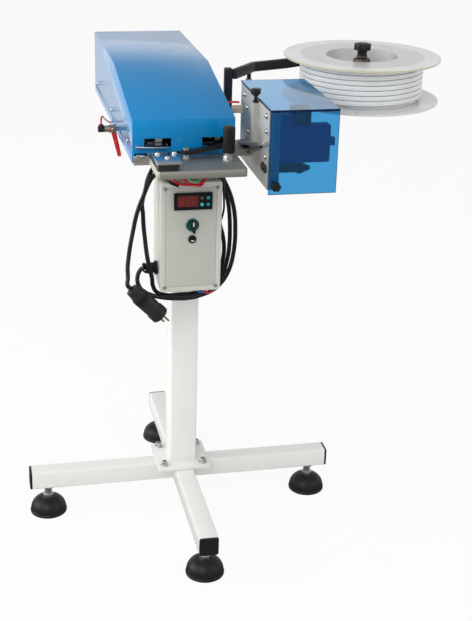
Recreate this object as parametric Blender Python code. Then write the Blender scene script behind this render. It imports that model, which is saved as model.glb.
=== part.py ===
"""Bench-height bag clipper: a pneumatic band closer on a cross-foot stand.

Lengths are in metres. The construction frame has its origin on the floor under the
column's axis: X to the operator's right, Y away from the operator, Z up. An empty
shifts everything so that the finished model stands centred over its own origin.
"""

import math

import bmesh
import bpy
from mathutils import Vector

# Running and seating clearances
SEAT_GAP = 0.0003
RUN_GAP = 0.0004
CUT_OVERRUN = 0.002
ROUND_STEPS = 32
SMALL_STEPS = 20
ROUTE_FINENESS = 12

# Levelling feet
PAD_RADIUS = 0.040
PAD_HEIGHT = 0.036
PAD_RIM_HEIGHT = 0.007
PAD_TOP_RADIUS = 0.011
STUD_RADIUS = 0.008
STUD_SHOWN = 0.029
STUD_NUT_RADIUS = 0.0125
STUD_NUT_HEIGHT = 0.009
STUD_IN_LEG = 0.022
FOOT_INSET = 0.035

# Base cross of square tube
LEG_SIDE = 0.040
LEG_WALL = 0.003
LEG_CORNER = 0.004
LEG_REACH = 0.331
CAP_THICK = 0.005
CAP_PLUG_DEPTH = 0.012
CAP_CORNER = 0.003

# Column with its two welded flanges
COLUMN_SIDE = 0.060
COLUMN_WALL = 0.003
COLUMN_CORNER = 0.006
COLUMN_HEIGHT = 0.7274
FLANGE_SIDE = 0.116
FLANGE_THICK = 0.008
FLANGE_CORNER = 0.004

# Machine bed, a thick steel plate that sticks out at the front as the table
BED_THICK = 0.0145
BED_FRONT = -0.250
BED_LEFT = -0.095
BED_RIGHT = 0.0752
BED_BACK = 0.120
BED_CORNER = 0.004
FEEDER_EAR_FRONT = -0.110
FEEDER_EAR_BACK = -0.040
POST_EAR_BACK_MARGIN = 0.010

# Tray and cover round the closing head
HEAD_LEFT = -0.127
HEAD_WIDTH = 0.201
HEAD_FRONT = -0.137
HEAD_DEPTH = 0.627
SHEET = 0.0015
TRAY_HEIGHT = 0.019
TRAY_NOTCH_GAP = 0.0005
COVER_SEAM = 0.0006
COVER_TOP_ABOVE_BED = 0.1235
COVER_NOSE_ABOVE_BED = 0.0705
COVER_RIDGE_BACK = 0.277
MOUTH_WIDTH = 0.029
MOUTH_LEFT_EDGE = 0.0045
MOUTH_TOP_ABOVE_BED = 0.005
WINDOW_SILL_ABOVE_BED = 0.0168
WINDOW_HEIGHT = 0.0165
LEFT_WINDOW_X = -0.1036
LEFT_WINDOW_WIDTH = 0.0525
RIGHT_WINDOW_X = 0.0093
RIGHT_WINDOW_WIDTH = 0.058

# Closing mechanism inside the cover
CYLINDER_WIDTH = 0.052
CYLINDER_LENGTH = 0.112
CYLINDER_HEIGHT = 0.056
CYLINDER_LEFT = -0.103
CYLINDER_FRONT = -0.052
CYLINDER_EDGE = 0.003
ROD_RADIUS = 0.008
ROD_IN_CYLINDER = 0.070
RAM_WIDTH = 0.040
RAM_HEIGHT = 0.028
RAM_THICK = 0.018
RAM_GAP_TO_CYLINDER = 0.012

# Throat fingers that lead the neck of the bag
FINGER_THICK = 0.003
FINGER_TAIL_WIDTH = 0.040
FINGER_FRONT = -0.158
FINGER_REACH_LEFT = -0.1215
FINGER_REACH_RIGHT = -0.062
FINGER_FOOT_LENGTH = 0.014
FINGER_FOOT_BACK_FROM_FRONT = 0.022
UPPER_FINGER_ABOVE_BED = 0.0185
LOWER_FINGER_LIFT = 0.0004
LOWER_FINGER_FRONT = -0.151
LOWER_FINGER_WIDTH = 0.017
LOWER_FINGER_LEFT = -0.1195
LOWER_FINGER_LENGTH = 0.042
LOWER_FINGER_NOSE = 0.0057
FINGER_ARC_STEPS = 8

# Block and clamp plate on the table's left corner
BLOCK_LEFT = -0.093
BLOCK_WIDTH = 0.040
BLOCK_FRONT = -0.240
BLOCK_LENGTH = 0.055
BLOCK_HEIGHT = 0.0135
BLOCK_EDGE = 0.001
CLAMP_THICK = 0.004
CLAMP_SIDE_LIP = 0.004
CLAMP_FRONT_LIP = 0.015

# Trigger lever on its shouldered bolt
PIVOT_X = -0.026
PIVOT_Y = -0.162
PIVOT_BOLT_RADIUS = 0.004
PIVOT_SHOULDER_RADIUS = 0.0065
PIVOT_SHOULDER_HEIGHT = 0.0075
PIVOT_HEAD_RADIUS = 0.0075
PIVOT_HEAD_HEIGHT = 0.0050
LEVER_THICK = 0.008
LEVER_HUB_RADIUS = 0.0085
LEVER_TIP_RADIUS = 0.0045
LEVER_LENGTH = 0.073
LEVER_ANGLE = math.radians(7.0)
LEVER_RISE = math.radians(7.0)
TAIL_LENGTH = 0.026
TAIL_RADIUS = 0.0025
TAIL_TIP_RADIUS = 0.00225
TAIL_THICK = 0.004

# Revolving grip on the table's right side
GRIP_X = 0.0515
GRIP_Y = -0.186
GRIP_NUT_RADIUS = 0.0108
GRIP_NUT_HEIGHT = 0.0150
GRIP_ROD_RADIUS = 0.005
GRIP_RADIUS = 0.0118
GRIP_HEIGHT = 0.051
GRIP_CROWN = 0.0025
GRIP_CAP = 0.006

# Air valve on the tray's left wall
VALVE_Y = 0.080
VALVE_ABOVE_TRAY_FLOOR = 0.0125
VALVE_THREAD_RADIUS = 0.0045
VALVE_THREAD_LENGTH = 0.003
VALVE_BODY_RADIUS = 0.0095
VALVE_BODY_LENGTH = 0.014
VALVE_PORT_RADIUS = 0.0075
VALVE_PORT_LENGTH = 0.010
VALVE_FITTING_RADIUS = 0.0068
VALVE_FITTING_LENGTH = 0.013
VALVE_STEM_RADIUS = 0.003
VALVE_STEM_LENGTH = 0.015
VALVE_LEVER_THICK = 0.0025
VALVE_LEVER_LENGTH = 0.054
VALVE_LEVER_HUB = 0.0055
VALVE_LEVER_TIP = 0.0042
VALVE_LEVER_LEAN = math.radians(13.0)

# Control box on the column's front
BOX_WIDTH = 0.124
BOX_HEIGHT = 0.231
BOX_LEFT = -0.068
BOX_BELOW_TOP_FLANGE = 0.0397
BOX_DEPTH = 0.0745
BOX_WALL = 0.003
BOX_CORNER = 0.006
LID_DEPTH = 0.0120
LID_FACE_CORNER = 0.009
LID_FACE_BEVEL = 0.002

# Temperature controller in the lid, with its four keys
CONTROLLER_WIDTH = 0.077
CONTROLLER_HEIGHT = 0.035
CONTROLLER_CENTRE_X = -0.003
CONTROLLER_TOP_MARGIN = 0.021
CONTROLLER_BEZEL = 0.0042
CONTROLLER_CORNER = 0.002
CONTROLLER_BODY_MARGIN = 0.003
CONTROLLER_BODY_DEPTH = 0.055
DISPLAY_WIDTH = 0.044
DISPLAY_HEIGHT = 0.024
DISPLAY_LEFT_MARGIN = 0.006
DISPLAY_DEPTH = 0.0008
KEY_RADIUS = 0.0036
KEY_LENGTH = 0.0028
KEY_PROUD = 0.0012
KEY_TRAVEL = 0.0008
KEY_SPACING_X = 0.0125
KEY_SPACING_Z = 0.0135
KEY_RIGHT_MARGIN = 0.0085

# Selector switch and push button under the controller
SELECTOR_X = -0.0035
SELECTOR_DROP = 0.089
SELECTOR_RING_RADIUS = 0.0135
SELECTOR_RING_THICK = 0.0035
SELECTOR_KNOB_RADIUS = 0.0098
SELECTOR_KNOB_THICK = 0.006
SELECTOR_KNOB_CROWN = 0.001
SELECTOR_BUSH_RADIUS = 0.0105
SELECTOR_BUSH_WALL = 0.002
SELECTOR_BUSH_LENGTH = 0.030
SELECTOR_STEM_RADIUS = 0.0055
SELECTOR_GRIP_WIDTH = 0.0055
SELECTOR_GRIP_HEIGHT = 0.0225
SELECTOR_GRIP_PROUD = 0.0075
SELECTOR_GRIP_EDGE = 0.0011
BUTTON_DROP = 0.119
BUTTON_RING_RADIUS = 0.0085
BUTTON_RING_THICK = 0.0035
BUTTON_BUSH_RADIUS = 0.0068
BUTTON_BUSH_LENGTH = 0.022
BUTTON_RADIUS = 0.0048
BUTTON_LENGTH = 0.024
BUTTON_PROUD = 0.0022

# Cable gland, mains lead and plug
GLAND_RISE = 0.039
GLAND_Y = -0.075
GLAND_FLANGE_RADIUS = 0.0145
GLAND_FLANGE_THICK = 0.005
GLAND_BODY_RADIUS = 0.0118
GLAND_BODY_LENGTH = 0.008
GLAND_NUT_RADIUS = 0.0132
GLAND_NUT_LENGTH = 0.009
GLAND_MOUTH_SHARE = 0.8
GLAND_DEPTH = 0.010
LEAD_RADIUS = 0.0045
LEAD_POINTS = 140
LEAD_STRAIGHT = 0.006
LEAD_LAID_HEIGHT = 0.231
PLUG_LENGTH = 0.088
PLUG_RADIUS = 0.018
PLUG_EDGE = 0.0015
PLUG_REAR_RADIUS = 0.014
PLUG_REAR_LENGTH = 0.030
PLUG_COLLAR_RADIUS = 0.0188
PLUG_COLLAR_LENGTH = 0.020
PLUG_PIN_RADIUS = 0.0024
PLUG_PIN_LENGTH = 0.018
PLUG_PIN_SPACING = 0.019
PLUG_DIP = math.radians(46.1)

# Band feeder: steel side plate, motor, rollers and the see-through guard
FEEDER_LEFT = 0.110
FEEDER_FRONT = -0.272
FEEDER_DEPTH = 0.255
FEEDER_WIDTH = 0.132
FEEDER_BOTTOM_BELOW_BED = 0.0455
FEEDER_HEIGHT = 0.162
GUARD_WALL = 0.004
SIDE_PLATE_THICK = 0.004
SIDE_PLATE_MARGIN = 0.007
SIDE_PLATE_TOP_GAP = 0.001
FLANGE_TAB_WIDTH = 0.018
FLANGE_TAB_HEIGHT = 0.034
FLANGE_TAB_THICK = 0.005
TENSION_BAR_WIDTH = 0.011
TENSION_BAR_DEPTH = 0.016
TENSION_BAR_FRONT = -0.178
TENSION_BAR_BOTTOM_ABOVE_BED = 0.025
TENSION_BAR_TOP_ABOVE_BED = 0.1075
MOTOR_WIDTH = 0.1145
MOTOR_HEIGHT = 0.0725
MOTOR_LENGTH = 0.070
MOTOR_FRONT_GAP = 0.004
MOTOR_ABOVE_BED = 0.0125
MOTOR_EDGE = 0.004
MOTOR_SOCKET_LENGTH = 0.0115
MOTOR_SOCKET_SIDE = 0.015
MOTOR_SOCKET_DROP = 0.026
MOTOR_HEAD_LEFT = 0.005
MOTOR_HEAD_WIDTH = 0.071
MOTOR_HEAD_HEIGHT = 0.026
MOTOR_HEAD_LENGTH = 0.040
ROLLER_RADIUS = 0.0085
ROLLER_LENGTH = 0.064
ROLLER_COLLAR_RADIUS = 0.0108
ROLLER_COLLAR_LENGTH = 0.0093
ROLLER_STUB_LENGTH = 0.008
ROLLER_DRIVE_END = 0.014
ROLLER_SHAFT_RADIUS = 0.004
ROLLER_Y = -0.246
ROLLER_BELOW_BED_TOP = 0.0015
ROLLER_SIDE_GAP = 0.003
ROLLER_NIP = 0.0010

# Star knobs
STAR_RADIUS = 0.0098
STAR_HEIGHT = 0.011
STAR_LOBES = 6
STAR_DEPTH_SHARE = 0.16
STAR_CROWN_SHARE = 0.85
STAR_STEM_RADIUS = 0.0048
TOP_KNOB_STEM = 0.016
GUARD_STUD_RADIUS = 0.003
GUARD_KNOB_RISE = 0.018
GUARD_KNOB_INSET = 0.009

# Reel post and arm
POST_X = 0.110
POST_Y = 0.104
POST_WIDTH = 0.016
POST_DEPTH = 0.020
POST_ABOVE_BED = 0.1155
POST_EDGE = 0.002
ARM_WIDTH = 0.012
ARM_HEIGHT = 0.020
ARM_TOP_DROP = 0.002
ARM_END_PAD = 0.030
ARM_CLEAR_OF_REEL = 0.035
ARM_LOWER_HEIGHT = 0.016
ARM_ROUTE_SHARES = ((0.207, 0.41), (0.501, 0.573), (1.0, 1.0))
ARM_LOWER_RIGHT = 0.0096
ARM_START_FORWARD = 0.004
ARM_LEAD = 0.005

# Reel of band
REEL_X = 0.388
REEL_Y = 0.064
REEL_BOTTOM_ABOVE_BED = 0.0545
REEL_RADIUS = 0.165
REEL_FLANGE_THICK = 0.004
REEL_FLANGE_SPACING = 0.088
BAND_DIAMETER = 0.0096
BAND_TURNS = 8
BAND_TURN_POINTS = 24
WINDING_RADIUS = 0.130
SPINDLE_RADIUS = 0.008
SPINDLE_FOOT_RADIUS = 0.026
SPINDLE_FOOT_HEIGHT = 0.007
SPINDLE_ABOVE_REEL = 0.012
HUB_RADIUS = 0.0178
HUB_ABOVE_WEB = 0.020
RECESS_RADIUS = 0.075
RECESS_DEPTH = 0.023
RECESS_WALL = 0.003
REEL_KNOB_RADIUS = 0.0185
REEL_KNOB_HEIGHT = 0.013
REEL_KNOB_EDGE = 0.0022
REEL_KNOB_NECK = 0.0135
REEL_KNOB_NECK_RADIUS = 0.0130
BORE_GAP = 0.0005

# Places that follow from the sizes above
LEG_BOTTOM = PAD_HEIGHT + STUD_SHOWN
LEG_TOP = LEG_BOTTOM + LEG_SIDE
HALF_LEG = LEG_SIDE / 2
COLUMN_BOTTOM = LEG_TOP + SEAT_GAP
COLUMN_TOP = COLUMN_BOTTOM + COLUMN_HEIGHT
HALF_COLUMN = COLUMN_SIDE / 2
BED_BOTTOM = COLUMN_TOP + SEAT_GAP
BED_TOP = BED_BOTTOM + BED_THICK
HEAD_RIGHT = HEAD_LEFT + HEAD_WIDTH
HEAD_BACK = HEAD_FRONT + HEAD_DEPTH
TRAY_TOP = BED_BOTTOM + TRAY_HEIGHT
COVER_TOP = BED_TOP + COVER_TOP_ABOVE_BED
COVER_NOSE = BED_TOP + COVER_NOSE_ABOVE_BED
BOX_TOP = COLUMN_TOP - FLANGE_THICK - BOX_BELOW_TOP_FLANGE
BOX_BOTTOM = BOX_TOP - BOX_HEIGHT
BOX_BACK_Y = -HALF_COLUMN - SEAT_GAP
BOX_RIM_Y = BOX_BACK_Y - BOX_DEPTH
LID_BACK_Y = BOX_RIM_Y - SEAT_GAP
LID_FACE_Y = LID_BACK_Y - LID_DEPTH
FEEDER_RIGHT = FEEDER_LEFT + FEEDER_WIDTH
FEEDER_BACK = FEEDER_FRONT + FEEDER_DEPTH
FEEDER_BOTTOM = BED_TOP - FEEDER_BOTTOM_BELOW_BED
FEEDER_TOP = FEEDER_BOTTOM + FEEDER_HEIGHT
SIDE_PLATE_RIGHT = FEEDER_LEFT + SIDE_PLATE_THICK
REEL_BOTTOM = BED_TOP + REEL_BOTTOM_ABOVE_BED
REEL_TOP = REEL_BOTTOM + REEL_FLANGE_SPACING + REEL_FLANGE_THICK
FOOT_CENTRE = LEG_REACH - FOOT_INSET
OUTER_REACH = LEG_REACH + CAP_THICK

PAINT = ((0.80, 0.80, 0.76), 0.45, 0.0)
BLACK_PLASTIC = ((0.025, 0.025, 0.028), 0.50, 0.0)
ZINC = ((0.62, 0.63, 0.64), 0.30, 1.0)
STEEL = ((0.42, 0.43, 0.45), 0.32, 1.0)
BRIGHT_STEEL = ((0.66, 0.67, 0.68), 0.25, 1.0)
BLUE_PAINT = ((0.02, 0.24, 0.58), 0.38, 0.0)
BOX_PLASTIC = ((0.53, 0.54, 0.49), 0.50, 0.0)
BLACK_PAINT = ((0.03, 0.03, 0.03), 0.40, 0.0)
TEAL = ((0.02, 0.22, 0.24), 0.45, 0.0)
KEY_TEAL = ((0.02, 0.50, 0.52), 0.45, 0.0)
PALE_PLASTIC = ((0.75, 0.75, 0.72), 0.45, 0.0)
BRASS = ((0.60, 0.52, 0.38), 0.35, 1.0)
RED = ((0.70, 0.02, 0.02), 0.40, 0.0)
BLUE_CLEAR = ((0.05, 0.35, 0.80), 0.10, 0.0)
MOTOR_GREY = ((0.06, 0.06, 0.07), 0.50, 0.3)
ALUMINIUM = ((0.60, 0.60, 0.60), 0.35, 1.0)
CLEAR_PLASTIC = ((0.80, 0.80, 0.76), 0.25, 0.0)
CORE_GREY = ((0.55, 0.53, 0.48), 0.60, 0.0)
BAND_WHITE = ((0.78, 0.79, 0.80), 0.45, 0.0)
LEAD_BLACK = ((0.015, 0.015, 0.016), 0.55, 0.0)


def clear_scene():
    """Empty the file that Blender starts with."""
    for item in list(bpy.data.objects):
        bpy.data.objects.remove(item, do_unlink=True)


def material(name, finish):
    """A Principled material, made once for each finish name."""
    found = bpy.data.materials.get(name)
    if found is not None:
        return found
    colour, roughness, metallic = finish
    made = bpy.data.materials.new(name)
    made.use_nodes = True
    shader = made.node_tree.nodes["Principled BSDF"]
    shader.inputs["Base Color"].default_value = (*colour, 1.0)
    shader.inputs["Roughness"].default_value = roughness
    shader.inputs["Metallic"].default_value = metallic
    return made


class Assembly:
    """Holds the empty that carries every piece and adds finished meshes to it."""

    def __init__(self):
        reach_right = REEL_X + REEL_RADIUS
        self.base = bpy.data.objects.new("assembly_origin", None)
        self.base.location = ((OUTER_REACH - reach_right) / 2, (OUTER_REACH - HEAD_BACK) / 2, 0.0)
        bpy.context.scene.collection.objects.link(self.base)

    def add_object(self, name, data, place, finish):
        """Link one mesh or curve as a named piece at its place in the construction frame."""
        piece = bpy.data.objects.new(name, data)
        piece.location = place
        piece.parent = self.base
        data.materials.append(material(name + "_finish", finish))
        bpy.context.scene.collection.objects.link(piece)
        return piece

    def add_mesh(self, name, bm, place, finish, smooth=True):
        """Turn a bmesh into a piece with outward faces."""
        bmesh.ops.recalc_face_normals(bm, faces=bm.faces)
        mesh = bpy.data.meshes.new(name)
        bm.to_mesh(mesh)
        bm.free()
        if smooth:
            mesh.shade_smooth()
            mesh.set_sharp_from_angle(angle=math.radians(35.0))
        return self.add_object(name, mesh, place, finish)

    def add_tool(self, name, bm, place):
        """A hidden shape that only cuts or joins another piece."""
        bmesh.ops.recalc_face_normals(bm, faces=bm.faces)
        mesh = bpy.data.meshes.new(name)
        bm.to_mesh(mesh)
        bm.free()
        tool = bpy.data.objects.new(name, mesh)
        tool.location = place
        tool.parent = self.base
        tool.hide_render = True
        tool.display_type = "WIRE"
        bpy.context.scene.collection.objects.link(tool)
        return tool

    def combine(self, piece, bm, place, operation="DIFFERENCE"):
        """Cut a shape from a piece, or join it on, with a Boolean modifier."""
        count = len(piece.modifiers) + 1
        tool = self.add_tool(piece.name + "_tool_" + str(count), bm, place)
        change = piece.modifiers.new("Shape " + str(count), "BOOLEAN")
        change.operation = operation
        change.object = tool


def rounded_rectangle(width, height, corner, steps=3):
    """Points round a centred rectangle with arc corners, anticlockwise."""
    points = []
    centres = ((1, 1, 0), (-1, 1, 1), (-1, -1, 2), (1, -1, 3))
    for side_x, side_y, quarter in centres:
        for step in range(steps + 1):
            angle = (quarter + step / steps) * math.pi / 2
            points.append((side_x * (width / 2 - corner) + corner * math.cos(angle),
                           side_y * (height / 2 - corner) + corner * math.sin(angle)))
    return points


def circle(radius, steps=ROUND_STEPS):
    """Points round a circle, anticlockwise."""
    return [(radius * math.cos(math.tau * step / steps), radius * math.sin(math.tau * step / steps))
            for step in range(steps)]


def hexagon(radius, steps=24):
    """Points round a hexagon of the given corner radius, spread along its flats."""
    points = []
    for step in range(steps):
        turn = math.tau * step / steps
        within = (turn % (math.pi / 3)) - math.pi / 6
        reach = radius * math.cos(math.pi / 6) / math.cos(within)
        points.append((reach * math.cos(turn), reach * math.sin(turn)))
    return points


def star(radius, lobes=STAR_LOBES, steps=36):
    """Points round a lobed knob."""
    points = []
    for step in range(steps):
        turn = math.tau * step / steps
        reach = radius * (1 - STAR_DEPTH_SHARE / 2 * (1 - math.cos(lobes * turn)))
        points.append((reach * math.cos(turn), reach * math.sin(turn)))
    return points


def turned_loop(points, height, axis):
    """Lift a flat loop to a height along X, Y or Z."""
    if axis == "X":
        return [Vector((height, a, b)) for a, b in points]
    if axis == "Y":
        return [Vector((a, height, b)) for a, b in points]
    return [Vector((a, b, height)) for a, b in points]


def loft(loops, closed=False):
    """Skin a row of loops that have as many points each, with flat ends unless closed."""
    bm = bmesh.new()
    rings = [[bm.verts.new(point) for point in loop] for loop in loops]
    count = len(rings[0])
    pairs = list(zip(rings, rings[1:]))
    if closed:
        pairs.append((rings[-1], rings[0]))
    for lower, upper in pairs:
        for index in range(count):
            following = (index + 1) % count
            bm.faces.new((lower[index], lower[following], upper[following], upper[index]))
    if not closed:
        bm.faces.new(list(reversed(rings[0])))
        bm.faces.new(rings[-1])
    return bm


def turned(profile, axis="Z", steps=ROUND_STEPS, closed=False):
    """A round solid from (radius, height) pairs; closed makes a ring with a bore."""
    loops = [turned_loop(circle(radius, steps), height, axis) for radius, height in profile]
    return loft(loops, closed)


def block(size, edge=0.0, segments=1):
    """A centred box with bevelled edges."""
    bm = bmesh.new()
    bmesh.ops.create_cube(bm, size=1.0)
    bmesh.ops.scale(bm, verts=bm.verts, vec=size)
    if edge > 0:
        bmesh.ops.bevel(bm, geom=bm.edges[:], offset=edge, segments=segments, profile=0.5,
                        affect="EDGES", clamp_overlap=True)
    return bm


def span(low, high):
    """The centre and size of a box between two corners."""
    centre = [(a + b) / 2 for a, b in zip(low, high)]
    size = [b - a for a, b in zip(low, high)]
    return centre, size


def prism(points, height, axis="Z"):
    """An outline pushed along an axis from zero to a height."""
    return loft([turned_loop(points, 0.0, axis), turned_loop(points, height, axis)])


def tapered_link(near_radius, far_radius, length, steps=8):
    """Outline of a bar with round ends of two radii, from the origin along +X."""
    lean = math.asin((near_radius - far_radius) / length)
    points = []
    start = math.pi / 2 - lean
    for step in range(steps + 1):
        turn = start + (math.tau - 2 * start) * step / steps
        points.append((near_radius * math.cos(turn), near_radius * math.sin(turn)))
    for step in range(steps + 1):
        turn = -start + 2 * start * step / steps
        points.append((length + far_radius * math.cos(turn), far_radius * math.sin(turn)))
    return points


def strip_outline(route, width):
    """Outline of a flat strip of constant width along a bent route in the plan."""
    left = []
    right = []
    for index, point in enumerate(route):
        here = Vector(point)
        before = (here - Vector(route[index - 1])).normalized() if index > 0 else None
        after = (Vector(route[index + 1]) - here).normalized() if index + 1 < len(route) else None
        before = before or after
        after = after or before
        mean = (before + after).normalized()
        normal = Vector((-mean.y, mean.x))
        reach = width / 2 / normal.dot(Vector((-before.y, before.x)))
        left.append(tuple(here + normal * reach))
        right.append(tuple(here - normal * reach))
    return left + right[::-1]


def smooth_route(points, count):
    """A number of evenly spaced points on a smooth curve through a route, and its length."""
    route = [Vector(point) for point in points]
    ends = [route[0] * 2 - route[1]] + route + [route[-1] * 2 - route[-2]]
    dense = []
    for index in range(1, len(ends) - 2):
        before, here, after, later = ends[index - 1:index + 3]
        for part in range(ROUTE_FINENESS):
            t = part / ROUTE_FINENESS
            dense.append(0.5 * ((2 * here) + (after - before) * t
                                + (2 * before - 5 * here + 4 * after - later) * t ** 2
                                + (3 * here - before - 3 * after + later) * t ** 3))
    dense.append(route[-1])
    lengths = [0.0]
    for here, after in zip(dense, dense[1:]):
        lengths.append(lengths[-1] + (after - here).length)
    evened = []
    index = 0
    for number in range(count):
        target = lengths[-1] * number / (count - 1)
        while index < len(dense) - 2 and lengths[index + 1] < target:
            index += 1
        share = (target - lengths[index]) / (lengths[index + 1] - lengths[index])
        evened.append(dense[index].lerp(dense[index + 1], min(1.0, share)))
    return evened, lengths[-1]


def tube_curve(name, points, radius, resolution):
    """A capped tube along straight pieces between the points."""
    data = bpy.data.curves.new(name, "CURVE")
    data.dimensions = "3D"
    data.bevel_depth = radius
    data.bevel_resolution = resolution
    data.use_fill_caps = True
    spline = data.splines.new("POLY")
    spline.points.add(len(points) - 1)
    for target, point in zip(spline.points, points):
        target.co = (*point, 1.0)
    return data


def square_tube(side, wall, corner, length, axis):
    """An open-ended square tube from zero to its length along an axis."""
    outer = rounded_rectangle(side, side, corner)
    inner = rounded_rectangle(side - 2 * wall, side - 2 * wall, corner - wall)
    return loft([turned_loop(outer, 0.0, axis), turned_loop(outer, length, axis),
                 turned_loop(inner, length, axis), turned_loop(inner, 0.0, axis)], closed=True)


def open_shell(width, height, corner, wall, start, end, axis="Y"):
    """A tray: closed at its start, open at its end, with one wall thickness all round."""
    outer = rounded_rectangle(width, height, corner)
    inner = rounded_rectangle(width - 2 * wall, height - 2 * wall, corner - wall)
    floor = start + math.copysign(wall, end - start)
    return [turned_loop(outer, start, axis), turned_loop(outer, end, axis),
            turned_loop(inner, end, axis), turned_loop(inner, floor, axis)]


def make_base(kit):
    """The welded cross of tube, with holes under its ends for the levelling studs."""
    hole_radius = STUD_RADIUS + BORE_GAP
    stud_hole = [(hole_radius, -LEG_WALL - CUT_OVERRUN), (hole_radius, LEG_WALL + CUT_OVERRUN)]
    height = LEG_BOTTOM + HALF_LEG
    beam = kit.add_mesh("cross_beam", square_tube(LEG_SIDE, LEG_WALL, LEG_CORNER, 2 * LEG_REACH, "X"),
                        (-LEG_REACH, 0.0, height), PAINT)
    for side in (-1, 1):
        kit.combine(beam, turned(stud_hole, steps=SMALL_STEPS), (side * FOOT_CENTRE, 0.0, LEG_BOTTOM))
    run = LEG_REACH - HALF_LEG - SEAT_GAP
    for name, side in (("front_leg", -1), ("rear_leg", 1)):
        start = -LEG_REACH if side < 0 else HALF_LEG + SEAT_GAP
        tube = square_tube(LEG_SIDE, LEG_WALL, LEG_CORNER, run, "Y")
        leg = kit.add_mesh(name, tube, (0.0, start, height), PAINT)
        kit.combine(leg, turned(stud_hole, steps=SMALL_STEPS), (0.0, side * FOOT_CENTRE, LEG_BOTTOM))


def make_end_caps(kit):
    """Black plugs in the four open tube ends."""
    outer = rounded_rectangle(LEG_SIDE, LEG_SIDE, LEG_CORNER)
    face = rounded_rectangle(LEG_SIDE - CAP_CORNER, LEG_SIDE - CAP_CORNER, LEG_CORNER)
    inside = LEG_SIDE - 2 * LEG_WALL - 2 * SEAT_GAP
    plug = rounded_rectangle(inside, inside, LEG_CORNER - LEG_WALL)
    for name, axis, side in (("left_end_cap", "X", -1), ("right_end_cap", "X", 1),
                             ("front_end_cap", "Y", -1), ("rear_end_cap", "Y", 1)):
        heights = [(plug, -CAP_PLUG_DEPTH), (plug, SEAT_GAP), (outer, SEAT_GAP),
                   (outer, CAP_THICK - CAP_CORNER / 2), (face, CAP_THICK)]
        loops = [turned_loop(points, side * height, axis) for points, height in heights]
        place = (side * LEG_REACH, 0.0, LEG_BOTTOM + HALF_LEG)
        if axis == "Y":
            place = (0.0, side * LEG_REACH, LEG_BOTTOM + HALF_LEG)
        kit.add_mesh(name, loft(loops), place, BLACK_PLASTIC)


def make_feet(kit):
    """Domed pads on threaded studs that screw into the tube ends."""
    rim_round = PAD_RIM_HEIGHT / 4
    dome = [(PAD_RADIUS - rim_round, 0.0), (PAD_RADIUS, rim_round), (PAD_RADIUS, PAD_RIM_HEIGHT)]
    dome_steps = 5
    for step in range(1, dome_steps + 1):
        turn = step / dome_steps * math.pi / 2
        dome.append((PAD_TOP_RADIUS + (PAD_RADIUS - PAD_TOP_RADIUS) * math.cos(turn),
                     PAD_RIM_HEIGHT + (PAD_HEIGHT - PAD_RIM_HEIGHT) * math.sin(turn)))
    nut_top = STUD_NUT_HEIGHT
    stud_top = STUD_SHOWN + STUD_IN_LEG
    for name, x, y in (("left", -1, 0), ("right", 1, 0), ("front", 0, -1), ("rear", 0, 1)):
        place = (x * FOOT_CENTRE, y * FOOT_CENTRE, 0.0)
        kit.add_mesh(name + "_foot_pad", turned(dome), place, BLACK_PLASTIC)
        stud = loft([turned_loop(hexagon(STUD_NUT_RADIUS), SEAT_GAP, "Z"),
                     turned_loop(hexagon(STUD_NUT_RADIUS), nut_top, "Z"),
                     turned_loop(circle(STUD_RADIUS, 24), nut_top, "Z"),
                     turned_loop(circle(STUD_RADIUS, 24), stud_top, "Z")])
        kit.add_mesh(name + "_foot_stud", stud, (place[0], place[1], PAD_HEIGHT), ZINC)


def make_column(kit):
    """The square column with a flange welded on each end."""
    outer = rounded_rectangle(COLUMN_SIDE, COLUMN_SIDE, COLUMN_CORNER)
    inner = rounded_rectangle(COLUMN_SIDE - 2 * COLUMN_WALL, COLUMN_SIDE - 2 * COLUMN_WALL,
                              COLUMN_CORNER - COLUMN_WALL)
    plate = rounded_rectangle(FLANGE_SIDE, FLANGE_SIDE, FLANGE_CORNER)
    top_flange = COLUMN_HEIGHT - FLANGE_THICK
    heights = [(plate, 0.0), (plate, FLANGE_THICK), (outer, FLANGE_THICK), (outer, top_flange),
               (plate, top_flange), (plate, COLUMN_HEIGHT), (inner, COLUMN_HEIGHT), (inner, 0.0)]
    loops = [turned_loop(points, height, "Z") for points, height in heights]
    kit.add_mesh("column", loft(loops, closed=True), (0.0, 0.0, COLUMN_BOTTOM), PAINT)


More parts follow.
